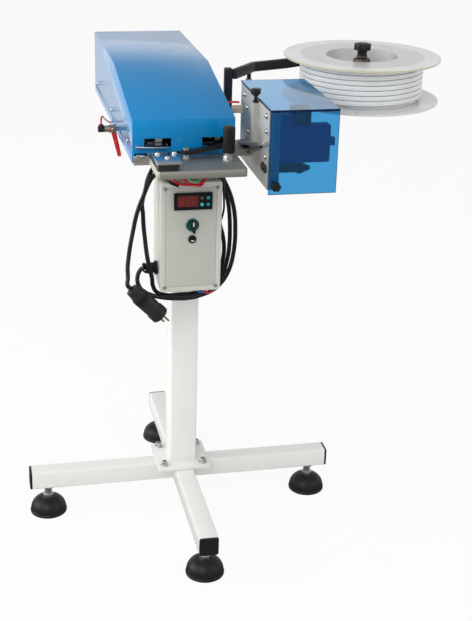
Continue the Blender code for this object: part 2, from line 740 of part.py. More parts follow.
def make_control_box(kit):
    """The moulded box on the column and its screwed lid."""
    centre_x = BOX_LEFT + BOX_WIDTH / 2
    centre_z = BOX_BOTTOM + BOX_HEIGHT / 2
    shell = open_shell(BOX_WIDTH, BOX_HEIGHT, BOX_CORNER, BOX_WALL, 0.0, BOX_RIM_Y - BOX_BACK_Y)
    base = kit.add_mesh("control_box", loft(shell), (centre_x, BOX_BACK_Y, centre_z), BOX_PLASTIC)
    gland_hole = [(GLAND_BODY_RADIUS, -BOX_WALL - CUT_OVERRUN), (GLAND_BODY_RADIUS, BOX_WALL + CUT_OVERRUN)]
    kit.combine(base, turned(gland_hole, "X", 24), (BOX_LEFT, GLAND_Y, BOX_BOTTOM + GLAND_RISE))
    outer = rounded_rectangle(BOX_WIDTH, BOX_HEIGHT, BOX_CORNER)
    face = rounded_rectangle(BOX_WIDTH - 2 * LID_FACE_BEVEL, BOX_HEIGHT - 2 * LID_FACE_BEVEL, LID_FACE_CORNER)
    inner = rounded_rectangle(BOX_WIDTH - 2 * BOX_WALL, BOX_HEIGHT - 2 * BOX_WALL, BOX_CORNER - BOX_WALL)
    depth = -LID_DEPTH
    loops = [turned_loop(face, depth, "Y"), turned_loop(outer, depth + LID_FACE_BEVEL, "Y"),
             turned_loop(outer, 0.0, "Y"), turned_loop(inner, 0.0, "Y"),
             turned_loop(inner, depth + BOX_WALL, "Y")]
    lid = kit.add_mesh("box_lid", loft(loops), (centre_x, LID_BACK_Y, centre_z), BOX_PLASTIC)
    opening = (CONTROLLER_WIDTH - 2 * CONTROLLER_BODY_MARGIN + 2 * RUN_GAP, 2 * LID_DEPTH,
               CONTROLLER_HEIGHT - 2 * CONTROLLER_BODY_MARGIN + 2 * RUN_GAP)
    kit.combine(lid, block(opening), (CONTROLLER_CENTRE_X, LID_FACE_Y, controller_z()))
    for bush, drop in ((SELECTOR_BUSH_RADIUS, SELECTOR_DROP), (BUTTON_BUSH_RADIUS, BUTTON_DROP)):
        hole = turned([(bush + RUN_GAP, -LID_DEPTH), (bush + RUN_GAP, LID_DEPTH)], "Y", 24)
        kit.combine(lid, hole, (SELECTOR_X, LID_FACE_Y, BOX_TOP - drop))


def controller_z():
    """Height of the controller's middle."""
    return BOX_TOP - CONTROLLER_TOP_MARGIN - CONTROLLER_HEIGHT / 2


def key_places():
    """Names and centres of the four keys, in the controller's right part."""
    right = CONTROLLER_CENTRE_X + CONTROLLER_WIDTH / 2 - KEY_RIGHT_MARGIN
    low = controller_z() - KEY_SPACING_Z / 2
    return [("set_key", right - KEY_SPACING_X, low + KEY_SPACING_Z), ("up_key", right, low + KEY_SPACING_Z),
            ("shift_key", right - KEY_SPACING_X, low), ("down_key", right, low)]


def make_controller(kit):
    """The panel controller: bezel in front of the lid, body behind it, four sprung keys."""
    bezel = rounded_rectangle(CONTROLLER_WIDTH, CONTROLLER_HEIGHT, CONTROLLER_CORNER)
    body = rounded_rectangle(CONTROLLER_WIDTH - 2 * CONTROLLER_BODY_MARGIN,
                             CONTROLLER_HEIGHT - 2 * CONTROLLER_BODY_MARGIN, CONTROLLER_CORNER)
    front = -CONTROLLER_BEZEL - SEAT_GAP
    loops = [turned_loop(body, CONTROLLER_BODY_DEPTH, "Y"), turned_loop(body, -SEAT_GAP, "Y"),
             turned_loop(bezel, -SEAT_GAP, "Y"), turned_loop(bezel, front, "Y")]
    controller = kit.add_mesh("temperature_controller", loft(loops),
                              (CONTROLLER_CENTRE_X, LID_FACE_Y, controller_z()), BLACK_PLASTIC)
    face_y = LID_FACE_Y + front
    display_x = CONTROLLER_CENTRE_X - CONTROLLER_WIDTH / 2 + DISPLAY_LEFT_MARGIN + DISPLAY_WIDTH / 2
    window = block((DISPLAY_WIDTH, 2 * DISPLAY_DEPTH, DISPLAY_HEIGHT))
    kit.combine(controller, window, (display_x, face_y, controller_z()))
    pocket_depth = KEY_LENGTH - KEY_PROUD + KEY_TRAVEL + SEAT_GAP
    for name, x, z in key_places():
        pocket = turned([(KEY_RADIUS + RUN_GAP, -CUT_OVERRUN), (KEY_RADIUS + RUN_GAP, pocket_depth)], "Y", 16)
        kit.combine(controller, pocket, (x, face_y, z))
        crown = KEY_RADIUS - KEY_PROUD / 4
        profile = [(KEY_RADIUS, KEY_LENGTH - KEY_PROUD), (KEY_RADIUS, -KEY_PROUD * 3 / 4),
                   (crown, -KEY_PROUD)]
        key = turned(profile, "Y", 16)
        kit.add_mesh(name, key, (x, face_y, z), KEY_TEAL)


def make_selector(kit):
    """A two-place selector with its ring and bush, and the push button below it."""
    place = (SELECTOR_X, LID_FACE_Y, BOX_TOP - SELECTOR_DROP)
    bore = SELECTOR_BUSH_RADIUS - SELECTOR_BUSH_WALL
    pocket = SELECTOR_KNOB_RADIUS + RUN_GAP
    ring_front = -SEAT_GAP - SELECTOR_RING_THICK
    profile = [(bore, SELECTOR_BUSH_LENGTH), (SELECTOR_BUSH_RADIUS, SELECTOR_BUSH_LENGTH),
               (SELECTOR_BUSH_RADIUS, -SEAT_GAP), (SELECTOR_RING_RADIUS, -SEAT_GAP),
               (SELECTOR_RING_RADIUS, ring_front / 2), (pocket, ring_front), (pocket, ring_front / 3),
               (bore, ring_front / 3)]
    kit.add_mesh("selector_ring", turned(profile, "Y", 24, closed=True), place, TEAL)
    knob_back = ring_front / 3 - SEAT_GAP
    profile = [(SELECTOR_STEM_RADIUS, SELECTOR_BUSH_LENGTH), (SELECTOR_STEM_RADIUS, knob_back),
               (SELECTOR_KNOB_RADIUS, knob_back),
               (SELECTOR_KNOB_RADIUS, knob_back - SELECTOR_KNOB_THICK + SELECTOR_KNOB_CROWN),
               (SELECTOR_KNOB_RADIUS - SELECTOR_KNOB_CROWN, knob_back - SELECTOR_KNOB_THICK)]
    knob = kit.add_mesh("selector_knob", turned(profile, "Y", 24), place, BLACK_PLASTIC)
    grip = block((SELECTOR_GRIP_WIDTH, SELECTOR_GRIP_PROUD, SELECTOR_GRIP_HEIGHT), SELECTOR_GRIP_EDGE)
    grip_y = place[1] + knob_back - SELECTOR_KNOB_THICK - SELECTOR_GRIP_PROUD / 4
    kit.combine(knob, grip, (place[0], grip_y, place[2]), "UNION")
    place = (SELECTOR_X, LID_FACE_Y, BOX_TOP - BUTTON_DROP)
    bore = BUTTON_RADIUS + RUN_GAP
    profile = [(bore, BUTTON_BUSH_LENGTH), (BUTTON_BUSH_RADIUS, BUTTON_BUSH_LENGTH),
               (BUTTON_BUSH_RADIUS, -SEAT_GAP), (BUTTON_RING_RADIUS, -SEAT_GAP),
               (BUTTON_RING_RADIUS, -BUTTON_RING_THICK / 2), (bore, -BUTTON_RING_THICK)]
    kit.add_mesh("button_ring", turned(profile, "Y", SMALL_STEPS, closed=True), place, BLACK_PLASTIC)
    front = -BUTTON_RING_THICK - BUTTON_PROUD
    profile = [(BUTTON_RADIUS, front + BUTTON_LENGTH), (BUTTON_RADIUS, front + BUTTON_PROUD / 3),
               (BUTTON_RADIUS - BUTTON_PROUD / 3, front)]
    kit.add_mesh("push_button", turned(profile, "Y", SMALL_STEPS), place, PALE_PLASTIC)


def gland_end_x():
    """Where the lead leaves the gland."""
    return BOX_LEFT - SEAT_GAP - GLAND_FLANGE_THICK - GLAND_BODY_LENGTH - GLAND_NUT_LENGTH


def make_gland(kit):
    """The screwed gland in the box's left wall."""
    place = (BOX_LEFT, GLAND_Y, BOX_BOTTOM + GLAND_RISE)
    inner = GLAND_BODY_RADIUS - RUN_GAP
    flange = -SEAT_GAP - GLAND_FLANGE_THICK
    body = flange - GLAND_BODY_LENGTH
    nut = body - GLAND_NUT_LENGTH
    profile = [(inner, GLAND_DEPTH), (inner, -SEAT_GAP), (GLAND_FLANGE_RADIUS, -SEAT_GAP),
               (GLAND_FLANGE_RADIUS, flange), (GLAND_BODY_RADIUS, flange), (GLAND_BODY_RADIUS, body),
               (GLAND_NUT_RADIUS, body), (GLAND_NUT_RADIUS, nut + GLAND_NUT_LENGTH / 3),
               (GLAND_BODY_RADIUS * GLAND_MOUTH_SHARE, nut)]
    kit.add_mesh("cable_gland", turned(profile, "X", 24), place, BLACK_PLASTIC)


# Route of the mains lead after the gland, wound round the box and down to the plug.
# Heights are measured from the underside of a box LEAD_LAID_HEIGHT high.
LEAD_ROUTE = (
    (-0.1035, -0.0760, 0.0335), (-0.1085, -0.0790, 0.0210), (-0.1075, -0.0840, 0.0075),
    (-0.0990, -0.0900, -0.0045), (-0.0825, -0.0970, -0.0120), (-0.0605, -0.1030, -0.0165),
    (-0.0350, -0.1040, -0.0195), (-0.0060, -0.1010, -0.0215), (0.0210, -0.0940, -0.0195),
    (0.0480, -0.0860, -0.0125), (0.0675, -0.0810, 0.0025), (0.0780, -0.0790, 0.0180),
    (0.0860, -0.0790, 0.0395), (0.0905, -0.0790, 0.0635), (0.0930, -0.0790, 0.0895),
    (0.0930, -0.0790, 0.1155), (0.0915, -0.0790, 0.1425), (0.0865, -0.0790, 0.1705),
    (0.0780, -0.0790, 0.1975), (0.0665, -0.0790, 0.2220), (0.0520, -0.0790, 0.2490),
    (0.0250, -0.0790, 0.2570), (-0.0120, -0.0790, 0.2570), (-0.0480, -0.0770, 0.2510),
    (-0.0740, -0.0760, 0.2360), (-0.0900, -0.0770, 0.2090), (-0.0990, -0.0790, 0.1795),
    (-0.0975, -0.0800, 0.1570), (-0.0965, -0.0820, 0.1320), (-0.0945, -0.0860, 0.1080),
    (-0.0925, -0.0920, 0.0840), (-0.0895, -0.0970, 0.0620), (-0.0850, -0.0980, 0.0420),
    (-0.0810, -0.0970, 0.0225), (-0.0790, -0.0950, 0.0070), (-0.0700, -0.0930, -0.0085),
    (-0.0490, -0.0900, -0.0170), (-0.0170, -0.0840, -0.0195), (0.0095, -0.0770, -0.0210),
    (0.0340, -0.0700, -0.0145), (0.0595, -0.0650, -0.0065), (0.0730, -0.0620, 0.0105),
    (0.0790, -0.0600, 0.0295), (0.0840, -0.0600, 0.0550), (0.0860, -0.0600, 0.0810),
    (0.0860, -0.0600, 0.1095), (0.0845, -0.0600, 0.1380), (0.0810, -0.0600, 0.1660),
    (0.0750, -0.0600, 0.1905), (0.0690, -0.0600, 0.2160), (0.0560, -0.0590, 0.2420),
    (0.0300, -0.0560, 0.2520), (0.0020, -0.0510, 0.2520), (-0.0220, -0.0420, 0.2510),
    (-0.0410, -0.0290, 0.2420), (-0.0500, -0.0190, 0.2170), (-0.0510, -0.0150, 0.1820),
    (-0.0510, -0.0140, 0.1360), (-0.0510, -0.0140, 0.0880), (-0.0510, -0.0150, 0.0430),
    (-0.0500, -0.0180, 0.0120), (-0.0430, -0.0270, -0.0080), (-0.0270, -0.0420, -0.0185),
    (0.0040, -0.0480, -0.0205), (0.0340, -0.0500, -0.0160), (0.0570, -0.0500, -0.0080),
    (0.0705, -0.0490, 0.0100), (0.0750, -0.0480, 0.0365), (0.0775, -0.0470, 0.0615),
    (0.0755, -0.0440, 0.0870), (0.0680, -0.0410, 0.1180), (0.0635, -0.0400, 0.1520),
    (0.0625, -0.0400, 0.1880), (0.0635, -0.0410, 0.2240), (0.0510, -0.0440, 0.2520),
    (0.0200, -0.0460, 0.2610), (-0.0140, -0.0490, 0.2630), (-0.0460, -0.0600, 0.2630),
    (-0.0710, -0.0750, 0.2560), (-0.0870, -0.0870, 0.2370), (-0.0965, -0.0920, 0.2035),
    (-0.1055, -0.0900, 0.1790), (-0.1130, -0.0900, 0.1545), (-0.1185, -0.0910, 0.1285),
    (-0.1240, -0.0950, 0.1040), (-0.1285, -0.0990, 0.0790), (-0.1320, -0.1050, 0.0545),
    (-0.1325, -0.1120, 0.0335), (-0.1275, -0.1190, 0.0135),
)
PLUG_DIRECTION = Vector((math.cos(PLUG_DIP), 0.0, -math.sin(PLUG_DIP)))


def make_lead(kit):
    """The mains lead in one length, from the gland to the plug, and the plug itself."""
    start = Vector((gland_end_x() - SEAT_GAP, GLAND_Y, BOX_BOTTOM + GLAND_RISE))
    lead_in = start + Vector((-LEAD_STRAIGHT, 0.0, 0.0))
    stretch = BOX_HEIGHT / LEAD_LAID_HEIGHT
    laid = [Vector((x, y, BOX_BOTTOM + rise * stretch)) for x, y, rise in LEAD_ROUTE]
    end = laid[-1]
    before_end = end - PLUG_DIRECTION * 2 * LEAD_RADIUS
    route = [lead_in] + laid[:-1] + [before_end]
    points, length = smooth_route(route, LEAD_POINTS - 2)
    points = [start] + points + [end]
    data = tube_curve("mains_lead", points, LEAD_RADIUS, 2)
    kit.add_object("mains_lead", data, (0.0, 0.0, 0.0), LEAD_BLACK)
    print("mains lead", round(length, 3), "m,", len(points), "points")
    collar = PLUG_LENGTH - PLUG_COLLAR_LENGTH
    plug_profile = [(PLUG_REAR_RADIUS - PLUG_EDGE, SEAT_GAP), (PLUG_REAR_RADIUS, SEAT_GAP + PLUG_EDGE),
                    (PLUG_RADIUS, PLUG_REAR_LENGTH), (PLUG_RADIUS, collar), (PLUG_COLLAR_RADIUS, collar),
                    (PLUG_COLLAR_RADIUS, PLUG_LENGTH - PLUG_EDGE),
                    (PLUG_COLLAR_RADIUS - PLUG_EDGE, PLUG_LENGTH)]
    plug_bm = turned(plug_profile, "Z", 20)
    turn = Vector((0.0, 0.0, 1.0)).rotation_difference(PLUG_DIRECTION)
    bmesh.ops.rotate(plug_bm, verts=plug_bm.verts, cent=(0.0, 0.0, 0.0), matrix=turn.to_matrix())
    plug = kit.add_mesh("mains_plug", plug_bm, end, LEAD_BLACK)
    for side in (-1, 1):
        pin = turned([(PLUG_PIN_RADIUS, PLUG_LENGTH - PLUG_PIN_LENGTH),
                      (PLUG_PIN_RADIUS, PLUG_LENGTH + PLUG_PIN_LENGTH)], "Z", 10)
        bmesh.ops.translate(pin, verts=pin.verts, vec=(0.0, side * PLUG_PIN_SPACING / 2, 0.0))
        bmesh.ops.rotate(pin, verts=pin.verts, cent=(0.0, 0.0, 0.0), matrix=turn.to_matrix())
        kit.combine(plug, pin, end, "UNION")


def post_ear():
    """Front, back and right edges of the bed's ear under the reel post."""
    half = POST_DEPTH / 2 + POST_EAR_BACK_MARGIN / 2
    return POST_Y - half, POST_Y + half, POST_X + POST_WIDTH / 2 + POST_EAR_BACK_MARGIN / 2


def make_bed(kit):
    """The machined bed: table at the front, wider under the cover, with ears for feeder and reel."""
    inner_left = HEAD_LEFT + SHEET + SEAT_GAP
    inner_right = HEAD_RIGHT - SHEET - SEAT_GAP
    step_y = HEAD_FRONT
    ear_x = FEEDER_LEFT - SEAT_GAP
    post_front, post_back, post_right = post_ear()
    corner = BED_CORNER
    outline = [(BED_LEFT + corner, BED_FRONT), (BED_RIGHT - corner, BED_FRONT),
                (BED_RIGHT, BED_FRONT + corner), (BED_RIGHT, step_y), (inner_right, step_y + SHEET),
                (inner_right, FEEDER_EAR_FRONT),
               (ear_x, FEEDER_EAR_FRONT), (ear_x, FEEDER_EAR_BACK), (inner_right, FEEDER_EAR_BACK),
               (inner_right, post_front), (post_right, post_front), (post_right, post_back),
               (inner_right, post_back), (inner_right, BED_BACK), (inner_left, BED_BACK),
               (inner_left, step_y), (BED_LEFT, step_y), (BED_LEFT, BED_FRONT + corner)]
    bed = kit.add_mesh("bed_plate", prism(outline, BED_THICK), (0.0, 0.0, BED_BOTTOM), STEEL)
    port = turned([(VALVE_THREAD_RADIUS + RUN_GAP, -CUT_OVERRUN),
                   (VALVE_THREAD_RADIUS + RUN_GAP, VALVE_THREAD_LENGTH + CUT_OVERRUN)], "X", 16)
    kit.combine(bed, port, (inner_left, VALVE_Y, BED_BOTTOM + VALVE_ABOVE_TRAY_FLOOR))


def make_tray(kit):
    """The blue sheet tray: floor behind the bed, low walls round it, notched at the bed's ears."""
    low = (HEAD_LEFT, HEAD_FRONT + SHEET + COVER_SEAM, BED_BOTTOM)
    high = (HEAD_RIGHT, HEAD_BACK, TRAY_TOP)
    centre, size = span(low, high)
    tray = kit.add_mesh("base_tray", block(size), centre, BLUE_PAINT, smooth=False)
    inside_low = (HEAD_LEFT + SHEET, HEAD_FRONT - CUT_OVERRUN, BED_BOTTOM + SHEET)
    inside_high = (HEAD_RIGHT - SHEET, HEAD_BACK - SHEET, TRAY_TOP + CUT_OVERRUN)
    centre, size = span(inside_low, inside_high)
    kit.combine(tray, block(size), centre)
    bed_low = (HEAD_LEFT + SHEET, HEAD_FRONT - CUT_OVERRUN, BED_BOTTOM - CUT_OVERRUN)
    bed_high = (HEAD_RIGHT - SHEET, BED_BACK + SEAT_GAP, TRAY_TOP)
    centre, size = span(bed_low, bed_high)
    kit.combine(tray, block(size), centre)
    post_front, post_back, _ = post_ear()
    for front, back in ((FEEDER_EAR_FRONT, FEEDER_EAR_BACK), (post_front, post_back)):
        notch_low = (HEAD_RIGHT - SHEET - CUT_OVERRUN, front - TRAY_NOTCH_GAP, BED_BOTTOM - CUT_OVERRUN)
        notch_high = (HEAD_RIGHT + CUT_OVERRUN, back + TRAY_NOTCH_GAP, BED_TOP + TRAY_NOTCH_GAP)
        centre, size = span(notch_low, notch_high)
        kit.combine(tray, block(size), centre)
    hole = turned([(VALVE_THREAD_RADIUS + BORE_GAP, -SHEET - CUT_OVERRUN),
                   (VALVE_THREAD_RADIUS + BORE_GAP, SHEET + CUT_OVERRUN)], "X", 16)
    kit.combine(tray, hole, (HEAD_LEFT, VALVE_Y, BED_BOTTOM + VALVE_ABOVE_TRAY_FLOOR))


def make_cover(kit):
    """The folded blue cover over the closing head, with its windows and bag mouth."""
    skirt = BED_TOP + SEAT_GAP
    seam = TRAY_TOP + COVER_SEAM
    ridge = HEAD_FRONT + COVER_RIDGE_BACK
    slope = math.atan2(COVER_TOP - COVER_NOSE, ridge - HEAD_FRONT)
    outside = [(HEAD_FRONT, skirt), (HEAD_BACK, skirt), (HEAD_BACK, COVER_TOP), (ridge, COVER_TOP),
               (HEAD_FRONT, COVER_NOSE)]
    nose_drop = SHEET * (1 - math.sin(slope)) / math.cos(slope)
    ridge_shift = SHEET * (1 - math.cos(slope)) / math.sin(slope)
    inside = [(HEAD_FRONT + SHEET, skirt - CUT_OVERRUN), (HEAD_BACK - SHEET, skirt - CUT_OVERRUN),
              (HEAD_BACK - SHEET, COVER_TOP - SHEET), (ridge + ridge_shift, COVER_TOP - SHEET),
              (HEAD_FRONT + SHEET, COVER_NOSE - nose_drop)]
    shell = prism(outside, HEAD_WIDTH, "X")
    cover = kit.add_mesh("head_cover", shell, (HEAD_LEFT, 0.0, 0.0), BLUE_PAINT, smooth=False)
    kit.combine(cover, prism(inside, HEAD_WIDTH - 2 * SHEET, "X"), (HEAD_LEFT + SHEET, 0.0, 0.0))
    low = (HEAD_LEFT - CUT_OVERRUN, HEAD_FRONT + SHEET, skirt - CUT_OVERRUN)
    high = (HEAD_RIGHT + CUT_OVERRUN, HEAD_BACK + CUT_OVERRUN, seam)
    centre, size = span(low, high)
    kit.combine(cover, block(size), centre)
    mouth_left = HEAD_LEFT + MOUTH_LEFT_EDGE
    sill = BED_TOP + WINDOW_SILL_ABOVE_BED
    openings = [(mouth_left, MOUTH_WIDTH, skirt - CUT_OVERRUN, BED_TOP + MOUTH_TOP_ABOVE_BED),
                (LEFT_WINDOW_X, LEFT_WINDOW_WIDTH, sill, sill + WINDOW_HEIGHT),
                (RIGHT_WINDOW_X, RIGHT_WINDOW_WIDTH, sill, sill + WINDOW_HEIGHT)]
    for left, width, bottom, top in openings:
        low = (left, HEAD_FRONT - CUT_OVERRUN, bottom)
        high = (left + width, HEAD_FRONT + CUT_OVERRUN, top)
        centre, size = span(low, high)
        kit.combine(cover, block(size), centre)


def make_closing_unit(kit):
    """The air cylinder on the bed and the ram that it drives towards the throat."""
    seat = BED_TOP + SEAT_GAP
    low = (CYLINDER_LEFT, CYLINDER_FRONT, seat)
    high = (CYLINDER_LEFT + CYLINDER_WIDTH, CYLINDER_FRONT + CYLINDER_LENGTH, seat + CYLINDER_HEIGHT)
    centre, size = span(low, high)
    cylinder = kit.add_mesh("closing_cylinder", block(size, CYLINDER_EDGE), centre, ALUMINIUM)
    bore_length = ROD_IN_CYLINDER + CUT_OVERRUN
    bore = turned([(ROD_RADIUS + RUN_GAP, -CUT_OVERRUN), (ROD_RADIUS + RUN_GAP, bore_length)], "Y", 24)
    rod_place = (centre[0], CYLINDER_FRONT, centre[2])
    kit.combine(cylinder, bore, rod_place)
    head_reach = RAM_GAP_TO_CYLINDER + RAM_THICK / 2
    rod = turned([(ROD_RADIUS, -head_reach), (ROD_RADIUS, ROD_IN_CYLINDER - SEAT_GAP)], "Y", 24)
    ram = kit.add_mesh("closing_ram", rod, rod_place, BRIGHT_STEEL)
    head = block((RAM_WIDTH, RAM_THICK, RAM_HEIGHT), CYLINDER_EDGE / 2)
    kit.combine(ram, head, (centre[0], CYLINDER_FRONT - head_reach, centre[2]), "UNION")


def make_fingers(kit):
    """Two curved steel fingers that lead the neck of the bag into the throat."""
    tail_back = HEAD_FRONT + FINGER_FOOT_BACK_FROM_FRONT
    middle = CYLINDER_LEFT + CYLINDER_WIDTH / 2
    tail_left = middle - FINGER_TAIL_WIDTH / 2
    tail_right = middle + FINGER_TAIL_WIDTH / 2
    base_y = HEAD_FRONT - CUT_OVERRUN
    outline = [(tail_right, tail_back), (tail_left, tail_back), (tail_left, base_y),
               (FINGER_REACH_LEFT, base_y)]
    rise = (base_y - FINGER_FRONT) / 2
    for step in range(FINGER_ARC_STEPS + 1):
        share = step / FINGER_ARC_STEPS
        x = FINGER_REACH_LEFT + (FINGER_REACH_RIGHT - FINGER_REACH_LEFT) * share
        outline.append((x, base_y - rise - rise * math.sin(math.pi * share / 2)))
    outline.append((FINGER_REACH_RIGHT, base_y))
    bottom = BED_TOP + UPPER_FINGER_ABOVE_BED
    upper = kit.add_mesh("upper_finger", prism(outline, FINGER_THICK), (0.0, 0.0, bottom), BRIGHT_STEEL)
    low = (tail_left, tail_back - FINGER_FOOT_LENGTH, BED_TOP + SEAT_GAP)
    high = (tail_right, tail_back, bottom + FINGER_THICK / 2)
    centre, size = span(low, high)
    kit.combine(upper, block(size), centre, "UNION")
    back = LOWER_FINGER_FRONT + LOWER_FINGER_LENGTH
    outline = [(LOWER_FINGER_LEFT + LOWER_FINGER_WIDTH, back), (LOWER_FINGER_LEFT, back)]
    for step in range(FINGER_ARC_STEPS + 1):
        share = step / FINGER_ARC_STEPS
        outline.append((LOWER_FINGER_LEFT + LOWER_FINGER_WIDTH * share,
                        LOWER_FINGER_FRONT + LOWER_FINGER_NOSE * (1 - math.sin(math.pi * share / 2))))
    place = (0.0, 0.0, BED_TOP + LOWER_FINGER_LIFT)
    kit.add_mesh("lower_finger", prism(outline, FINGER_THICK), place, BRIGHT_STEEL)


def make_guide_block(kit):
    """The block on the table's left corner with its screwed clamp plate."""
    right = BLOCK_LEFT + BLOCK_WIDTH
    back = BLOCK_FRONT + BLOCK_LENGTH
    seat = BED_TOP + SEAT_GAP
    centre, size = span((BLOCK_LEFT, BLOCK_FRONT, seat), (right, back, seat + BLOCK_HEIGHT))
    kit.add_mesh("guide_block", block(size, BLOCK_EDGE), centre, STEEL)
    bottom = seat + BLOCK_HEIGHT + SEAT_GAP
    low = (BLOCK_LEFT - CLAMP_SIDE_LIP, BLOCK_FRONT - CLAMP_FRONT_LIP, bottom)
    high = (right + CLAMP_SIDE_LIP, back + CLAMP_SIDE_LIP, bottom + CLAMP_THICK)
    centre, size = span(low, high)
    kit.add_mesh("clamp_plate", block(size, BLOCK_EDGE), centre, BRIGHT_STEEL)


def make_trigger(kit):
    """The trigger lever and the shouldered bolt that it turns on."""
    place = (PIVOT_X, PIVOT_Y, BED_TOP + SEAT_GAP)
    lever_bottom = PIVOT_SHOULDER_HEIGHT + SEAT_GAP
    head_bottom = lever_bottom + LEVER_THICK + RUN_GAP
    loops = [turned_loop(circle(PIVOT_SHOULDER_RADIUS, 24), 0.0, "Z"),
             turned_loop(circle(PIVOT_SHOULDER_RADIUS, 24), PIVOT_SHOULDER_HEIGHT, "Z"),
             turned_loop(circle(PIVOT_BOLT_RADIUS, 24), PIVOT_SHOULDER_HEIGHT, "Z"),
             turned_loop(circle(PIVOT_BOLT_RADIUS, 24), head_bottom, "Z"),
             turned_loop(hexagon(PIVOT_HEAD_RADIUS), head_bottom, "Z"),
             turned_loop(hexagon(PIVOT_HEAD_RADIUS), head_bottom + PIVOT_HEAD_HEIGHT, "Z")]
    kit.add_mesh("pivot_bolt", loft(loops), place, ZINC)
    arm = prism(tapered_link(LEVER_HUB_RADIUS, LEVER_TIP_RADIUS, LEVER_LENGTH), LEVER_THICK)
    bmesh.ops.bisect_plane(arm, geom=arm.verts[:] + arm.edges[:] + arm.faces[:],
                           plane_co=(LEVER_HUB_RADIUS, 0.0, 0.0), plane_no=(1.0, 0.0, 0.0))
    for vert in arm.verts:
        vert.co.z += max(0.0, vert.co.x - LEVER_HUB_RADIUS) * math.tan(LEVER_RISE)
    bmesh.ops.rotate(arm, verts=arm.verts, cent=(0.0, 0.0, 0.0),
                     matrix=Vector((1.0, 0.0, 0.0)).rotation_difference(
                         Vector((math.cos(LEVER_ANGLE), math.sin(LEVER_ANGLE), 0.0))).to_matrix())
    lever_place = (place[0], place[1], place[2] + lever_bottom)
    lever = kit.add_mesh("trigger_lever", arm, lever_place, BLACK_PAINT)
    tail = prism(tapered_link(TAIL_RADIUS, TAIL_TIP_RADIUS, TAIL_LENGTH), TAIL_THICK)
    bmesh.ops.scale(tail, verts=tail.verts, vec=(-1.0, 1.0, 1.0))
    bmesh.ops.reverse_faces(tail, faces=tail.faces)
    tail_place = (lever_place[0], lever_place[1], lever_place[2] + (LEVER_THICK - TAIL_THICK) / 2)
    kit.combine(lever, tail, tail_place, "UNION")
    bore = PIVOT_BOLT_RADIUS + RUN_GAP
    hole = turned([(bore, -CUT_OVERRUN), (bore, LEVER_THICK + CUT_OVERRUN)], steps=24)
    kit.combine(lever, hole, lever_place)


def make_grip(kit):
    """The revolving grip on its hexagon-footed stud."""
    place = (GRIP_X, GRIP_Y, BED_TOP + SEAT_GAP)
    rod_top = GRIP_NUT_HEIGHT + GRIP_HEIGHT - GRIP_CAP
    loops = [turned_loop(hexagon(GRIP_NUT_RADIUS), 0.0, "Z"),
             turned_loop(hexagon(GRIP_NUT_RADIUS), GRIP_NUT_HEIGHT, "Z"),
             turned_loop(circle(GRIP_ROD_RADIUS, 24), GRIP_NUT_HEIGHT, "Z"),
             turned_loop(circle(GRIP_ROD_RADIUS, 24), rod_top, "Z")]
    kit.add_mesh("grip_stud", loft(loops), place, ZINC)
    bore = GRIP_ROD_RADIUS + RUN_GAP
    ceiling = GRIP_HEIGHT - GRIP_CAP + RUN_GAP
    profile = [(bore, ceiling), (bore, 0.0), (GRIP_RADIUS - GRIP_CROWN / 2, 0.0),
                (GRIP_RADIUS, GRIP_CROWN / 2), (GRIP_RADIUS, GRIP_HEIGHT - GRIP_CROWN),
                (GRIP_RADIUS - GRIP_CROWN, GRIP_HEIGHT)]
    sleeve_place = (place[0], place[1], place[2] + GRIP_NUT_HEIGHT + SEAT_GAP)
    kit.add_mesh("grip_sleeve", turned(profile, "Z", 24), sleeve_place, BLACK_PLASTIC)


def make_air_valve(kit):
    """The ball valve on the tray's left wall and its red lever."""
    place = (HEAD_LEFT, VALVE_Y, BED_BOTTOM + VALVE_ABOVE_TRAY_FLOOR)
    thread = -SEAT_GAP
    body = thread - VALVE_THREAD_LENGTH
    port = body - VALVE_BODY_LENGTH
    fitting = port - VALVE_PORT_LENGTH
    end = fitting - VALVE_FITTING_LENGTH
    inside = SHEET + VALVE_THREAD_LENGTH
    profile = [(VALVE_THREAD_RADIUS, inside), (VALVE_THREAD_RADIUS, body), (VALVE_BODY_RADIUS, body),
               (VALVE_BODY_RADIUS, port), (VALVE_PORT_RADIUS, port), (VALVE_PORT_RADIUS, fitting),
               (VALVE_FITTING_RADIUS, fitting), (VALVE_FITTING_RADIUS, end)]
    valve = kit.add_mesh("air_valve", turned(profile, "X", SMALL_STEPS), place, BRASS)
    stem_x = place[0] + body - VALVE_BODY_LENGTH / 2
    stem = turned([(VALVE_STEM_RADIUS, 0.0), (VALVE_STEM_RADIUS, -VALVE_STEM_LENGTH)], "Y", 16)
    kit.combine(valve, stem, (stem_x, place[1], place[2]), "UNION")
    lever = prism(tapered_link(VALVE_LEVER_HUB, VALVE_LEVER_TIP, VALVE_LEVER_LENGTH), -VALVE_LEVER_THICK, "Y")
    lean = Vector((1.0, 0.0, 0.0)).rotation_difference(
        Vector((math.sin(VALVE_LEVER_LEAN), 0.0, -math.cos(VALVE_LEVER_LEAN))))
    bmesh.ops.rotate(lever, verts=lever.verts, cent=(0.0, 0.0, 0.0), matrix=lean.to_matrix())
    lever_y = place[1] - VALVE_BODY_RADIUS - SEAT_GAP
    red_lever = kit.add_mesh("air_valve_lever", lever, (stem_x, lever_y, place[2]), RED)
    bore = VALVE_STEM_RADIUS + RUN_GAP
    hole = turned([(bore, CUT_OVERRUN), (bore, -VALVE_LEVER_THICK - CUT_OVERRUN)], "Y", 16)
    kit.combine(red_lever, hole, (stem_x, lever_y, place[2]))


def roller_place():
    """Start of the feed roller's body on its axis."""
    return SIDE_PLATE_RIGHT + ROLLER_SIDE_GAP, ROLLER_Y, BED_TOP - ROLLER_BELOW_BED_TOP


